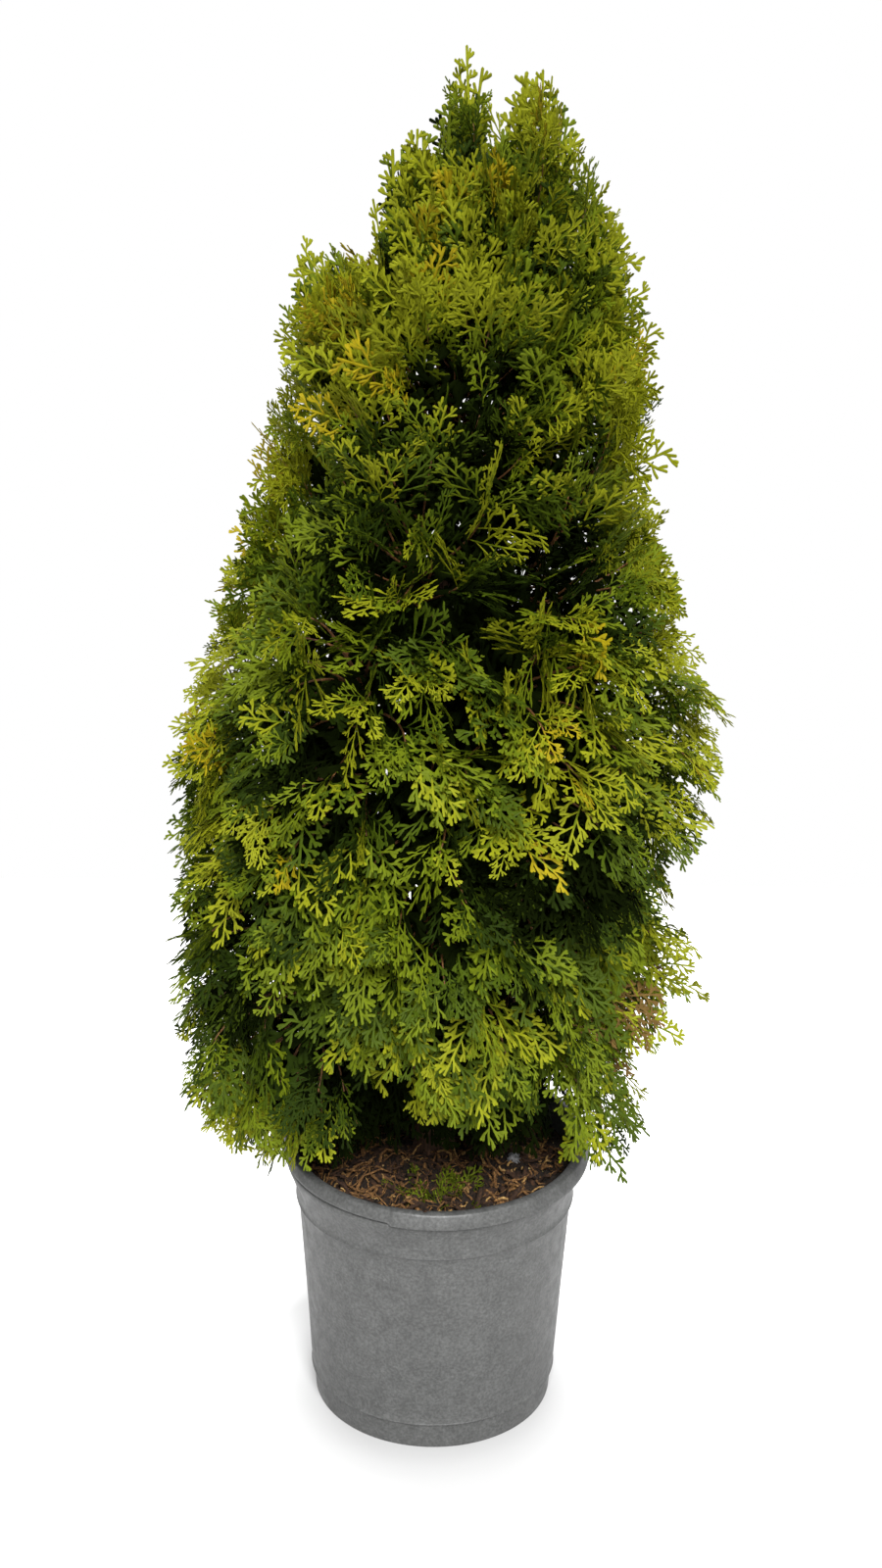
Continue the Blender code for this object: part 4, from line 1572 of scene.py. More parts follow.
    def build(self) -> None:
        """Grows every mass, then joins the sprays by tint and the shoots into pieces."""
        masses = self.crown.masses
        batches, curves = [], []
        filling = self.filler_tips()
        nearest = np.argmin([mass.fullness(filling) for mass in masses], axis=0)
        for i, mass in enumerate(masses):
            own = self.tips(mass)
            for tips, most in ((own, self.over_skin), (filling[nearest == i], self.filler_skin)):
                batch, shoots = self.sprays(mass, self.shoots(mass, tips), most)
                batches.append(batch)
                curves.append(shoots)
            batches.append(self.heart(mass))
        batches.extend([self.thatch(), self.leaders()])
        batch, shoots = self.sprays(masses[0], self.stray_shoots(), self.stray_skin, self.stray_scale, False)
        sprays = SprayBatch.joined([*batches, batch])
        curves = np.concatenate([*curves, shoots])
        LOG.info("%d sprays on %d shoots", len(sprays.size), len(curves))
        strips: dict[Tint, list[Array]] = {tint: [] for tint in Tint}
        for pattern in (pattern for kind in Kind for pattern in PATTERNS[kind].patterns()):
            points, layers = pattern.points()
            for layer in (0, 1):
                shape = points[layers == layer].reshape(-1, 3)
                for tint in Tint:
                    chosen = (sprays.pattern == pattern.seed) & (sprays.tints[:, layer] == tint.value)
                    if chosen.any() and len(shape):
                        strips[tint].append(sprays.kept(chosen).shaped(shape).reshape(-1, 3, 3, 3))
        for tint, parts in strips.items():
            if parts:
                self.add_strips(tint, np.concatenate(parts))
        self.add_shoots(curves)

    def add_strips(self, tint: Tint, strips: Array) -> None:
        """Adds the strips of one tint in as few pieces as the most triangles of a piece allow.

        Args:
            tint: their tint.
            strips: strips x 3 rows x 3 points x 3.
        """
        nodes = tuple(mass.name for mass in self.crown.masses)
        pieces = math.ceil(len(strips) * STRIP_TRIANGLES / MOST_TRIANGLES)
        for i, part in enumerate(np.array_split(strips, pieces)):
            faces = grid_faces(len(part), 3, 3, flip=True)
            add_piece(f"foliage_{tint.name.lower()}_{i + 1}", part.reshape(-1, 3), [faces], LEAF_FINISHES[tint], nodes)

    def add_shoots(self, curves: Array) -> None:
        """Adds the shoots as one piece of thin tapering tubes.

        Args:
            curves: shoots x 3 x 3 control points.
        """
        shares = np.tile(np.linspace(0.0, self.shoot_end, self.shoot_rows), (len(curves), 1))
        paths, _ = self.on_curve(curves, shares)
        slim = np.interp(curves[:, 2, 2], self.slim_heights, self.slim_shares)
        radii = np.linspace(*self.shoot_radii, self.shoot_rows)[None] * slim[:, None]
        points, faces = swept(paths, radii, self.shoot_sides)
        add_piece("shoots", points, faces, SHOOT_BARK)


# ------------ wood


@dataclass
class Wood:
    """Trunk, leaders and boughs with bark relief, on the same paths as the solids.

    A mesh is given as the number of points along a limb and round it.
    """

    crown: Crown
    pot: PotSizes
    gap: float = 0.0003
    trunk_mesh: tuple = (90, 30)
    trunk_radius: float = 0.0145
    flare: float = 1.55
    flare_fade: float = 28.0
    flare_height: float = 0.09
    flare_rows: int = 24
    plain_from: float = 0.10
    top: float = 1.060
    tip_radius: float = 0.0042
    lean: float = 0.010
    bow: float = 0.006
    wander: float = 0.004
    wander_turns: float = 5.0
    leaders: tuple = (("leader_left", "crest_3", 0.60), ("leader_right", "tip_right", 0.66))
    leader_mesh: tuple = (60, 20)
    leader_share: float = 0.62
    leader_tip: float = 0.0036
    leader_bow: float = -0.03
    bough_mesh: tuple = (30, 16)
    bough_tiers: tuple = ("skirt", "belly")
    bough_drop: float = 0.085
    shortest: float = 0.35
    lowest_fork: float = 0.035
    bough_radii: tuple = (0.0068, 0.0040)
    bough_bow: float = -0.006
    core_share: float = 0.42
    side_share: float = 0.60
    wall_share: float = 0.92
    foot_share: float = 0.80
    drift: tuple = (0.7, 31.0)
    furrows: tuple = ((0.050, 7.0, 2.0), (0.035, 12.0, 3.0))
    knots: tuple = (0.05, 130.0, 2.0, 47.0)
    first_seeds: tuple = (1, 2, 10)

    def trunk_share(self, height: Array) -> Array:
        """How far up the trunk heights are, from 0 at the soil to 1 at its top."""
        return (np.asarray(height) - self.pot.soil_top) / (self.top - self.pot.soil_top)

    def trunk_point(self, height: Array) -> Array:
        """Centre of the trunk: x = lean s^2 - bow sin(pi s) and y = wander sin(turns s) at share s.

        Args:
            height: heights above the floor.

        Returns:
            A point for each.
        """
        share = self.trunk_share(height)
        x = self.lean * share**2 - self.bow * np.sin(math.pi * share)
        y = self.wander * np.sin(self.wander_turns * share)
        return np.stack([x, y, np.asarray(height) + 0.0 * share], axis=-1)

    def trunk_width(self, height: Array) -> Array:
        """Radius of the trunk: an even taper times 1 + (flare - 1) exp(-fade s) at share s.

        Args:
            height: heights above the floor.

        Returns:
            A radius for each.
        """
        share = self.trunk_share(height)
        plain = self.trunk_radius + (self.tip_radius - self.trunk_radius) * share
        return plain * (1.0 + (self.flare - 1.0) * np.exp(-share * self.flare_fade))

    def limb_end(self, fork: Array, mass: Mass) -> Array:
        """Where a limb ends, inside the heart of the mass that it carries.

        Args:
            fork: where it leaves the trunk.
            mass: the mass that it carries.

        Returns:
            Its end point.
        """
        back = fork - mass.centre
        distance = np.linalg.norm(back)
        back = back / distance
        end, wall = (float(value) for value in mass.reaches(back))
        heart = end * self.core_share if wall > end else min(wall * self.wall_share, end * self.side_share)
        return mass.centre + back * min(heart * self.foot_share, distance * (1.0 - self.shortest))

    def arched(self, start: Array, end: Array, rise: float, rows: int) -> Array:
        """Points of an arch: start + (end - start) t + rise sin(pi t) upwards."""
        t = np.linspace(0.0, 1.0, rows)[:, None]
        return start + (end - start) * t + np.array([0.0, 0.0, rise]) * np.sin(math.pi * t)

    def add_limb(self, name: str, path: Array, radii: Array, sides: int, seed: int) -> None:
        """Adds one limb with stringy bark: its radius is multiplied by 1 + furrows + knots.

        The two sets of furrows are waves round the limb that wander slowly along it, and the knots are
        the product of a wave along and round it and a slower one along it.

        Args:
            name: the solid that the limb stands for.
            path: rows x 3 points.
            radii: radius at each row.
            sides: points round the limb.
            seed: picks its furrows.
        """
        run = np.concatenate([[0.0], np.cumsum(np.linalg.norm(np.diff(path, axis=0), axis=1))])
        angle, along = (TURN * np.arange(sides) / sides)[None, :], run[:, None]
        drift = self.drift[0] * np.sin(along * self.drift[1] + seed)
        (deep, few, slow), (fine, many, fast) = self.furrows
        furrows = deep * np.sin(few * angle + drift * slow) + fine * np.sin(many * angle - drift * fast + seed)
        high, close, round_it, wide = self.knots
        knots = high * np.sin(along * close + round_it * angle) * np.sin(along * wide + seed)
        relief = radii[:, None] * (1.0 + furrows + knots)
        points, faces = swept(path[None], relief[None], sides)
        add_piece("bark_" + name, points, faces, OLD_BARK, (name,))

    def build(self) -> None:
        """Adds the trunk, the two leaders and the twelve boughs."""
        masses = {mass.name: mass for mass in self.crown.masses}
        trunk_seed, leader_seed, bough_seed = self.first_seeds
        start = self.pot.soil_top + self.gap
        flared = np.linspace(start, start + self.flare_height, self.flare_rows)
        rows, sides = self.trunk_mesh
        heights = np.concatenate([flared, np.linspace(start + self.plain_from, self.top, rows)])
        self.add_limb("trunk", self.trunk_point(heights), self.trunk_width(heights), sides, trunk_seed)
        rows, sides = self.leader_mesh
        for i, (name, carried, height) in enumerate(self.leaders):
            fork = self.trunk_point(height)
            path = self.arched(fork, self.limb_end(fork, masses[carried]), self.leader_bow, rows)
            thick = float(self.trunk_width(height)) * self.leader_share
            self.add_limb(name, path, np.linspace(thick, self.leader_tip, rows), sides, leader_seed + i)
        rows, sides = self.bough_mesh
        for i, (name, mass) in enumerate(masses.items()):
            if name.startswith(self.bough_tiers):
                height = max(mass.centre[2] - self.bough_drop, self.pot.soil_top + self.lowest_fork)
                fork = self.trunk_point(height)
                path = self.arched(fork, self.limb_end(fork, mass), self.bough_bow, rows)
                self.add_limb("bough_" + name, path, np.linspace(*self.bough_radii, rows), sides, bough_seed + i)


# ------------ pot and soil


@dataclass
class Pot:
    """The nursery pot: a turned wall with a rolled rim, on which a thicker band overlaps at the front.

    The tables of its profile hold radius and height offsets in millimetres, and heel_steps in foot steps.
    """

    sizes: PotSizes
    around: int = 480
    wall_rows: int = 24
    wall_ends: tuple = (0.004, 0.002)
    band_start: float = -106.0
    band_end: float = 62.0
    band_edges: tuple = (0.1, 0.7, 2.0)
    band_proud: float = 0.0016
    band_spread: tuple = (0.30, 0.70)
    band_drop: float = 0.0016
    band_rise: float = 0.0005
    rim_shift: tuple = (-0.0021, 0.0034)
    rim_low: float = 0.002
    rim_out: tuple = (0.001, 0.008)
    flare: float = 0.0062
    left_flare: float = 0.0042
    flare_start: float = 0.002
    flare_power: float = 1.5
    nick_angle: float = -93.5
    nick_width: float = 0.7
    nick_depth: float = 0.0022
    wobbles: tuple = ((0.0004, 3.0, 0.7), (0.0003, 7.0, 0.0))
    wobble_from: float = 0.05
    wobble_heights: tuple = (0.03, 0.10)
    warp_start: float = 0.01
    middle_radius: float = 0.0004
    rim_points: tuple = (
        (2.0, -2.6), (2.6, -1.6), (3.6, -0.7), (5.0, -0.1), (6.8, 0.0), (8.6, -0.3), (9.8, -0.8), (10.6, -1.6),
        (11.1, -2.8), (11.8, -4.6), (12.6, -6.8), (13.3, -8.9), (13.6, -10.2), (13.5, -10.9), (12.9, -11.3),
        (12.0, -11.3), (7.0, -10.9), (2.4, -10.6), (0.9, -11.0),
    )
    under_points: tuple = ((-0.6, 1.2), (-0.8, -6.0))
    collar_points: tuple = (
        (-1.0, 26.0), (-1.2, 16.0), (-1.4, 8.0), (-1.6, 2.2), (-1.0, 1.6), (-1.1, 1.0), (-1.9, 0.6),
    )
    ledge_points: tuple = ((1.1, 0.1), (0.9, -1.0))
    foot_points: tuple = ((0.8, 1.4), (1.0, 0.8), (0.6, 0.2))
    recess_points: tuple = ((0.9, 0.8), (0.6, -0.4))
    recess_middle: tuple = (0.4, 0.5)
    heel_steps: tuple = ((0.0, 1.0), (-0.3, 0.3), (-1.0, 0.0))
    inside_shares: tuple = (0.8, 0.2)
    lip_drop: float = 0.0050
    lip: tuple = (0.0008, 0.0034)

    def profile(self) -> Array:
        """The pot's profile down the outside, across the underside and up the inside.

        Returns:
            Rows of radius and height.
        """
        s = self.sizes
        collar, under, seam = s.collar_radius, s.rim_top - s.rim_depth, s.collar_bottom
        foot, step, base, high = s.base_radius + 2.0 * s.foot_step, s.foot_step, s.base_radius, s.foot_height
        rim = np.array(self.rim_points) / PER_METRE + np.array([collar, s.rim_top]) + np.array(self.rim_shift)
        heights = np.linspace(seam - self.wall_ends[0], high + step + self.wall_ends[1], self.wall_rows)
        share = (heights - high) / (seam - high)
        wall = np.stack([foot + (s.wall_top_radius - foot) * share, heights], axis=-1)
        (out, up), (less, down) = self.recess_points
        lower, upper = self.inside_shares
        rows = [
            rim,
            np.array([collar, under]) + np.array(self.under_points) / PER_METRE,
            np.array([collar, seam]) + np.array(self.collar_points) / PER_METRE,
            np.array([s.wall_top_radius, seam]) + np.array(self.ledge_points) / PER_METRE,
            wall,
            np.array([foot, high + step]) + np.array(self.foot_points) / PER_METRE,
            [(base + step * out, high + up / PER_METRE), (base + step * less, high + down / PER_METRE)],
            [(base + step * self.recess_middle[0], high * self.recess_middle[1])],
            np.array([base, 0.0]) + np.array(self.heel_steps) * step,
            [(base / 2.0, 0.0), (self.middle_radius, 0.0), (self.middle_radius, s.wall)],
            [(s.wall_inside(s.wall), s.wall), (s.wall_inside(seam), seam), (collar - s.wall * lower, under)],
            [(collar - s.wall * upper, s.rim_top - self.lip_drop), (collar + self.lip[0], s.rim_top - self.lip[1])],
        ]
        return np.concatenate(rows)

    def build(self) -> None:
        """Turns the profile, warps the rim, and swells the overlapping band with its step and nick."""
        s = self.sizes
        profile = self.profile()
        rows, rim_rows = len(profile), len(self.rim_points)
        collar_rows = len(self.under_points + self.collar_points + self.ledge_points)
        angles = TURN * np.arange(self.around) / self.around - math.pi
        radius = np.repeat(profile[:, :1], self.around, axis=1)
        height = np.repeat(profile[:, 1:], self.around, axis=1)
        degrees = np.degrees(angles)[None, :]
        under = s.rim_top - s.rim_depth + self.rim_shift[1]
        on_rim = (np.arange(rows) < rim_rows)[:, None]
        outer = (np.arange(rows) < rim_rows + collar_rows)[:, None] & ~on_rim
        before, after, fade = self.band_edges
        band = smooth_share(degrees, self.band_start - before, self.band_start + after)
        band = band * (1.0 - smooth_share(degrees, self.band_end - fade, self.band_end))
        low = 1.0 - smooth_share(height, under, s.rim_top + self.rim_shift[1] - self.rim_low)
        out = smooth_share(radius, *(s.collar_radius + step for step in self.rim_out))
        flare = smooth_share(height, s.collar_bottom + self.flare_start, under) ** self.flare_power
        radius = radius + outer * flare * (self.flare + self.left_flare * (1.0 - band))
        least, more = self.band_spread
        radius = radius + on_rim * band * self.band_proud * (least + more * low) * out
        height = height - on_rim * band * low * self.band_drop + on_rim * band * (1.0 - low) * self.band_rise
        nick = np.exp(-(((degrees - self.nick_angle) / self.nick_width) ** 2)) * on_rim * (1.0 - low) * (1.0 - out)
        height = height - nick * self.nick_depth
        wobble = sum(size * np.sin(waves * angles + start) for size, waves, start in self.wobbles)
        radius = radius + (radius > self.wobble_from) * wobble[None, :] * smooth_share(height, *self.wobble_heights)
        share = smooth_share(height, s.collar_bottom + self.warp_start, under)
        tilt = s.rim_warp * np.sin(angles) + s.rim_side * np.cos(angles)
        height = height + share * radius * tilt[None, :] / s.rim_radius
        points = np.stack([radius * np.cos(angles), radius * np.sin(angles), height], axis=-1).reshape(-1, 3)
        faces = grid_faces(1, rows + 1, self.around, closed=True, flip=True)
        faces = np.where(faces >= len(points), faces - len(points), faces)
        add_piece("pot_shell", points, [faces], POT_PLASTIC, ("pot",))


@dataclass(frozen=True)
class Strands:
    """Roots or bark chips that lie on the soil: how many, how long and thick, and how they bend and rise."""

    finish: EarthFinish
    count: int
    lengths: tuple
    radii: tuple
    curl: float
    arch: float
    tilt: float = 0.0
    taper: float = 0.6
    rows: int = 9
    sides: int = 5


@dataclass
class Soil:
    """Peat in the pot, with roots, crumbs, a stone and a patch of moss on it."""

    pot: PotSizes
    seed: int = 3
    around: int = 200
    rows: int = 70
    gap: float = 0.0008
    low_gaps: tuple = (0.001, 0.0006)
    middle_radius: float = 0.0006
    relief: float = 0.0036
    waves: tuple = ((1.0, 28.0, 21), (0.6, 75.0, 22), (0.4, 170.0, 23))
    dome_start: float = 0.02
    calm_radii: tuple = (0.018, 0.035)
    wall_room: float = 0.004
    trunk_room: float = 0.026
    strands: tuple = (
        ("roots", Strands(ROOT_SKIN, 330, (0.010, 0.048), (0.0005, 0.0021), 1.6, 0.010)),
        ("dark_chips", Strands(DARK_CHIP, 380, (0.007, 0.024), (0.0014, 0.0040), 0.3, 0.003, 0.7, 0.35, 4, 4)),
        ("brown_chips", Strands(ROOT_SKIN, 240, (0.005, 0.020), (0.0010, 0.0030), 0.4, 0.003, 0.7, 0.4, 4, 4)),
        ("tan_chips", Strands(TAN_CHIP, 210, (0.004, 0.017), (0.0007, 0.0021), 0.7, 0.003, 0.8, 0.4, 4, 4)),
    )
    length_power: float = 1.6
    radius_power: float = 1.5
    arch_waves: tuple = (0.5, 1.0)
    least_tilt: float = -0.2
    most_sunk: float = -0.0005
    lump_push: tuple = (0.72, 1.2)
    lump_flat: tuple = (0.5, 0.9)
    lump_pole: float = 0.6
    crumbs: int = 1500
    crumb_sizes: tuple = (0.0007, 0.0026)
    crumb_power: int = 3
    crumb_mesh: tuple = (2, 5)
    pale_crumbs: int = 60
    pale_sizes: tuple = (0.0007, 0.0018)
    pale_mesh: tuple = (3, 6)
    stone_place: tuple = (0.075, -0.0245, 0.0068)
    stone_raised: float = 0.3
    stone_mesh: tuple = (7, 12)
    moss_sprigs: int = 44
    moss_place: tuple = (0.004, -0.086, 0.032, 0.020)
    moss_spread: float = 0.6
    moss_sunk: float = 0.0008
    moss_lean: float = 0.75
    moss_squash: tuple = (1.0, 1.0, 0.2)
    moss_rise: float = 0.8
    moss_sizes: tuple = (0.012, 0.027)
    moss_droop: float = -0.1
    moss_form: SprayPattern = SprayPattern(77, sides=6, width=0.080, axis_parts=3, forked=False)
    dice: Dice = field(init=False)

    def __post_init__(self) -> None:
        """Seeds the dice."""
        self.dice = np.random.default_rng(self.seed)

    @property
    def edge(self) -> float:
        """Inner radius of the pot at the soil's edge."""
        return self.pot.wall_inside(self.pot.soil_edge)

    def surface(self, x: Array, y: Array) -> Array:
        """Height of the soil: a low dome, lumpy at three scales, that sinks a little at the wall.

        Args:
            x: places on the soil.
            y: the same.

        Returns:
            A height for each.
        """
        s, radius = self.pot, np.hypot(x, y)
        dome = s.soil_top + (s.soil_edge - s.soil_top) * smooth_share(radius, self.dome_start, self.edge)
        place = np.stack([x, y, 0.0 * x], axis=-1)
        lumps = sum(size * ripple(place, scale, seed) for size, scale, seed in self.waves)
        calm = smooth_share(radius, *self.calm_radii)
        calm = calm * (1.0 - smooth_share(radius, self.edge - self.wall_room, self.edge))
        return dome + self.relief * lumps * calm

    def scattered(self, count: int) -> Array:
        """Points spread evenly over the soil between the trunk and the wall.

        Args:
            count: how many.

        Returns:
            count x 3 points.
        """
        outer = self.edge - self.wall_room
        radius = np.sqrt(self.dice.uniform(self.trunk_room**2, outer**2, count))
        angle = self.dice.uniform(0.0, TURN, count)
        x, y = radius * np.cos(angle), radius * np.sin(angle)
        return np.stack([x, y, self.surface(x, y)], axis=-1)

    def lumps(self, places: Array, sizes: Array, rows: int, sides: int) -> tuple[Array, list[Array]]:
        """Closed irregular lumps: radius * (sin a cos b, sin a sin b, flat cos a), each corner pushed in or out.

        Args:
            places: centres.
            sizes: radii.
            rows: rings between a lump's poles.
            sides: points in a ring.

        Returns:
            Points and face arrays.
        """
        count = len(places)
        polar = (math.pi * (np.arange(rows) + 1.0) / (rows + 1.0))[None, :, None]
        turn = (TURN * np.arange(sides) / sides)[None, None, :]
        push = self.dice.uniform(*self.lump_push, (count, rows, sides)) * sizes[:, None, None]
        flat = self.dice.uniform(*self.lump_flat, (count, 1, 1))
        level = push * np.sin(polar)
        corner = [level * np.cos(turn), level * np.sin(turn), -push * np.cos(polar) * flat]
        body = (places[:, None, None] + np.stack(corner, axis=-1)).reshape(-1, 3)
        pole = UP * np.array([-1.0, 1.0])[None, :, None] * (sizes * self.lump_pole)[:, None, None]
        poles = (places[:, None] + pole).reshape(-1, 3)
        faces = [grid_faces(count, rows, sides, closed=True), cap_faces(count, rows, sides)]
        return np.concatenate([body, poles]), faces

    def add_ground(self) -> None:
        """Adds the soil body: its lumpy top, and a plain side and underside inside the pot."""
        s, middle = self.pot, self.middle_radius
        side_gap, low_gap = self.low_gaps
        radii = np.linspace(middle, self.edge - self.gap, self.rows)
        angles = TURN * np.arange(self.around) / self.around
        x, y = radii[:, None] * np.cos(angles), radii[:, None] * np.sin(angles)
        top = np.stack([x, y, self.surface(x, y)], axis=-1)
        low = s.wall + low_gap
        seam = s.wall_inside(s.collar_bottom) - self.gap
        side = np.array([(seam, s.collar_bottom), (s.wall_inside(low) - side_gap, low), (middle, low)])
        lower = side[:, :1, None] * level_ring(angles)[None] + UP * side[:, 1:, None]
        points = np.concatenate([top, lower])
        poles = UP * np.array([[self.surface(np.zeros(1), np.zeros(1))[0]], [low]])
        faces = [grid_faces(1, len(points), self.around, closed=True, flip=True)]
        faces.append(cap_faces(1, len(points), self.around)[:, ::-1])
        add_piece("peat", np.concatenate([points.reshape(-1, 3), poles]), faces, PEAT, ("soil",))

    def add_strands(self, name: str, strands: Strands) -> None:
        """Adds strands that lie over the soil in loose bends.

        A strand runs level along the heading h + curl t at share t, raised by an arch sin(pi t w) and a tilt.

        Args:
            name: the piece's name.
            strands: their number and sizes.
        """
        dice = self.dice
        start = self.scattered(strands.count)
        heading = dice.uniform(0.0, TURN, strands.count)
        shortest, longest = strands.lengths
        length = shortest + (longest - shortest) * dice.random(strands.count) ** self.length_power
        curl = dice.normal(0.0, strands.curl, strands.count)
        t = np.linspace(0.0, 1.0, strands.rows)[None, :]
        angle = heading[:, None] + curl[:, None] * t
        x = start[:, :1] + length[:, None] * t * np.cos(angle)
        y = start[:, 1:2] + length[:, None] * t * np.sin(angle)
        inside = (np.hypot(x, y) < self.edge - self.wall_room).all(axis=1)
        x, y, t = x[inside], y[inside], np.repeat(t, inside.sum(), axis=0)
        column = (len(x), 1)
        arch = dice.uniform(0.0, strands.arch, column) * np.sin(math.pi * t * dice.uniform(*self.arch_waves, column))
        tilt = dice.uniform(self.least_tilt, strands.tilt, column) * t * length[inside][:, None]
        paths = np.stack([x, y, self.surface(x, y) + arch + np.maximum(tilt, self.most_sunk)], axis=-1)
        thin, thick = strands.radii
        radii = (thin + (thick - thin) * dice.random(column) ** self.radius_power) * (1.0 - strands.taper * t)
        points, faces = swept(paths, radii, strands.sides)
        add_piece(name, points, faces, strands.finish)

    def add_moss(self) -> None:
        """Adds a patch of moss: small upright and leaning feathery sprigs that thin out towards its edge."""
        dice, count = self.dice, self.moss_sprigs
        x0, y0, wide, deep = self.moss_place
        x = x0 + wide * dice.normal(0.0, self.moss_spread, count)
        y = y0 + deep * dice.normal(0.0, self.moss_spread, count)
        foot = np.stack([x, y, self.surface(x, y) - self.moss_sunk], axis=-1)
        lean = dice.normal(0.0, self.moss_lean, (count, 3)) * np.array(self.moss_squash)
        along = unit(lean + UP * self.moss_rise)
        normal = unit(np.cross(along, dice.normal(size=(count, 3))))
        size = dice.uniform(*self.moss_sizes, count)
        none, tints = np.zeros(count), np.zeros((count, 2), int)
        droop = none + self.moss_droop
        sprigs = SprayBatch(foot, along, np.cross(normal, along), normal, size, droop, none, none, tints)
        shape, _ = self.moss_form.points()
        points = sprigs.shaped(shape.reshape(-1, 3)).reshape(-1, 3)
        add_piece("moss", points, [grid_faces(len(points) // 9, 3, 3, flip=True)], MOSS)

    def build(self) -> None:
        """Adds the ground and everything on it."""
        self.add_ground()
        for name, strands in self.strands:
            self.add_strands(name, strands)
        small, more = self.crumb_sizes
        sizes = small + more * self.dice.random(self.crumbs) ** self.crumb_power
        points, faces = self.lumps(self.scattered(self.crumbs), sizes, *self.crumb_mesh)
        add_piece("crumbs", points, faces, PEAT, smooth=False)
        sizes = self.dice.uniform(*self.pale_sizes, self.pale_crumbs)
        points, faces = self.lumps(self.scattered(self.pale_crumbs), sizes, *self.pale_mesh)
        add_piece("pale_crumbs", points, faces, CRUMB)
        x, y, size = self.stone_place
        place = np.array([[x, y, self.surface(np.array(x), np.array(y)) + size * self.stone_raised]])
        points, faces = self.lumps(place, np.array([size]), *self.stone_mesh)
        add_piece("stone", points, faces, STONE)
        self.add_moss()


# ------------ studio


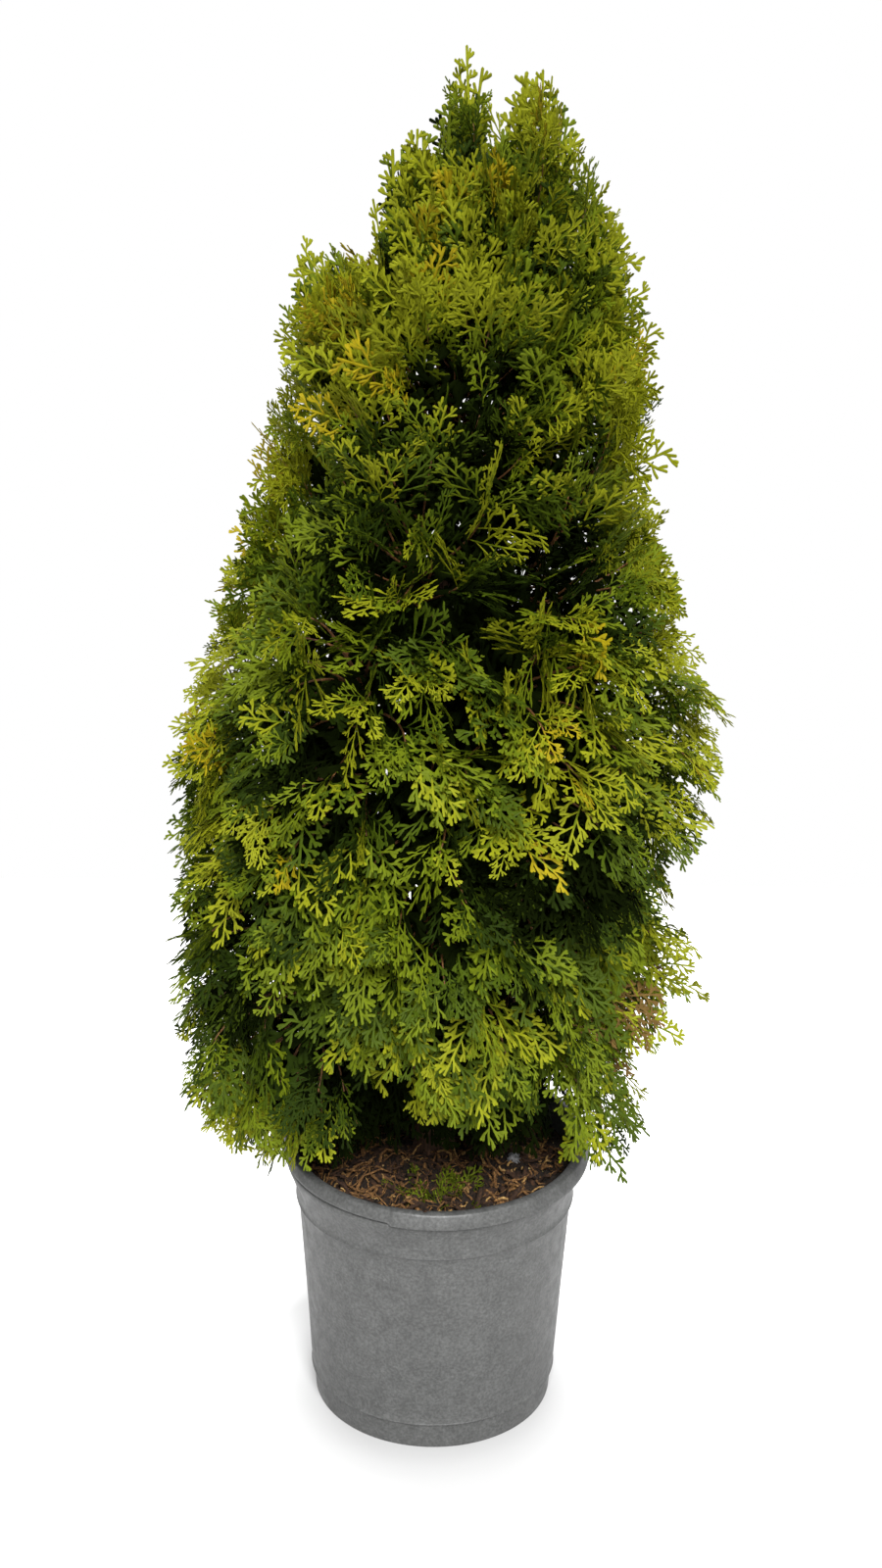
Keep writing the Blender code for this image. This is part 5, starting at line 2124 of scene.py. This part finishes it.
@dataclass
class Studio:
    """Pale floor, soft light and the camera."""

    floor_side: float = 3.2
    # Centre and greys of the floor's painted contact shadow near the pot, and its glow to the camera, painted light
    # further out.
    contact_shift: tuple = (0.006, 0.012, 0.0)
    floor_shades: tuple = ((0.105, 0.60), (0.190, 0.64), (0.260, 0.93))
    floor_glow: tuple = ((0.106, 0.03), (0.118, 0.07), (0.134, 0.15), (0.154, 0.21), (0.194, 0.26), (0.260, 0.74))
    roughness: float = 0.9
    world_light: float = 0.36
    suns: tuple = (("key", 4.5, 26.0, 49.0, 7.0), ("back_fill", 1.3, 60.0, 52.0, 190.0))
    camera_place: tuple = (0.0, -1.4712, 0.9897)
    camera_down: float = 14.421
    camera_yaw: float = 0.063
    camera_roll: float = 0.684
    lens: float = 38.25

    def add_floor(self) -> None:
        """Adds the floor, which is no part of the plant: it glows to the camera alone like a light table, painted
        light that hides cast shadows, and its colour and glow fall off near the pot as a painted contact shadow.
        """
        half = self.floor_side / 2.0
        points = np.array([[-half, -half, 0.0], [half, -half, 0.0], [half, half, 0.0], [-half, half, 0.0]])
        floor = bpy.data.objects.new("floor", new_mesh("floor", points, [np.array([[0, 1, 2, 3]])], False))
        bpy.context.scene.collection.objects.link(floor)
        tree = NodeTree("floor")
        place = tree.add("Mapping", {"Location": self.contact_shift})
        tree.join(tree.add("TexCoord").outputs["Object"], place.inputs["Vector"])
        far = tree.add("VectorMath", operation="LENGTH")
        tree.join(place.outputs["Vector"], far.inputs[0])
        # Darker base colour near the pot: a painted contact shadow.
        tree.drive("Base Color", tree.ramp(far.outputs["Value"], greys(self.floor_shades)))
        tree.fix("Roughness", self.roughness)
        tree.fix("Emission Color", WHITE)
        # Glow to the camera alone, weaker near the pot: painted light that hides cast shadows, fading into the painted
        # contact shadow.
        glow = tree.add("Math", operation="MULTIPLY")
        tree.join(tree.add("LightPath").outputs["Is Camera Ray"], glow.inputs[0])
        tree.join(tree.ramp(far.outputs["Value"], greys(self.floor_glow)), glow.inputs[1])
        tree.drive("Emission Strength", glow.outputs["Value"])
        floor.data.materials.append(tree.material)

    def add_light(self) -> None:
        """Adds an even white surround, a soft light from above the front and a weak wide one from behind."""
        world = bpy.data.worlds.new("surround")
        bpy.context.scene.world = world
        world.use_nodes = True
        nodes, links = world.node_tree.nodes, world.node_tree.links
        seen = nodes.new("ShaderNodeBackground")
        cast = nodes["Background"]
        for background, strength in ((seen, 1.0), (cast, self.world_light)):
            background.inputs["Color"].default_value = WHITE
            background.inputs["Strength"].default_value = strength
        ray, mix = nodes.new("ShaderNodeLightPath"), nodes.new("ShaderNodeMixShader")
        links.new(ray.outputs["Is Camera Ray"], mix.inputs["Fac"])
        links.new(cast.outputs["Background"], mix.inputs[1])
        links.new(seen.outputs["Background"], mix.inputs[2])
        links.new(mix.outputs["Shader"], nodes["World Output"].inputs["Surface"])
        for name, strength, angle, tilt, turn in self.suns:
            sun = bpy.data.lights.new(name, "SUN")
            sun.energy = strength
            sun.angle = math.radians(angle)
            lamp = bpy.data.objects.new(name, sun)
            spin = Matrix.Rotation(math.radians(turn), 4, "Z")
            lamp.matrix_world = spin @ Matrix.Rotation(math.radians(tilt), 4, "X")
            bpy.context.scene.collection.objects.link(lamp)

    def add_camera(self) -> None:
        """Adds the camera, level but for a slight roll, that looks down at the plant."""
        lens = bpy.data.cameras.new("camera")
        lens.lens = self.lens
        camera = bpy.data.objects.new("camera", lens)
        place = Matrix.Translation(self.camera_place)
        yaw = Matrix.Rotation(math.radians(-self.camera_yaw), 4, "Z")
        pitch = Matrix.Rotation(math.radians(90.0 - self.camera_down), 4, "X")
        roll = Matrix.Rotation(math.radians(self.camera_roll), 4, "Z")
        camera.matrix_world = place @ yaw @ pitch @ roll
        bpy.context.scene.collection.objects.link(camera)
        bpy.context.scene.camera = camera

    def build(self) -> None:
        """Adds floor, light and camera, and shows colours as they are."""
        self.add_floor()
        self.add_light()
        self.add_camera()
        bpy.context.scene.view_settings.view_transform = "Standard"


def corners(box: tuple) -> list[list[float]]:
    """A box's two corners as plain lists."""
    return [[float(value) for value in corner] for corner in box]


def main() -> None:
    """Loads the solids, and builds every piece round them."""
    logging.basicConfig(level=logging.INFO, format="%(name)s: %(message)s")
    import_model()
    sizes = PotSizes()
    crown = Crown()
    Studio().build()
    Pot(sizes).build()
    Soil(sizes).build()
    Wood(crown, sizes).build()
    bounds = Bounds(crown, sizes)
    Foliage(bounds, TintRule(bounds)).build()
    bpy.context.view_layer.update()


if __name__ == "__main__":
    main()
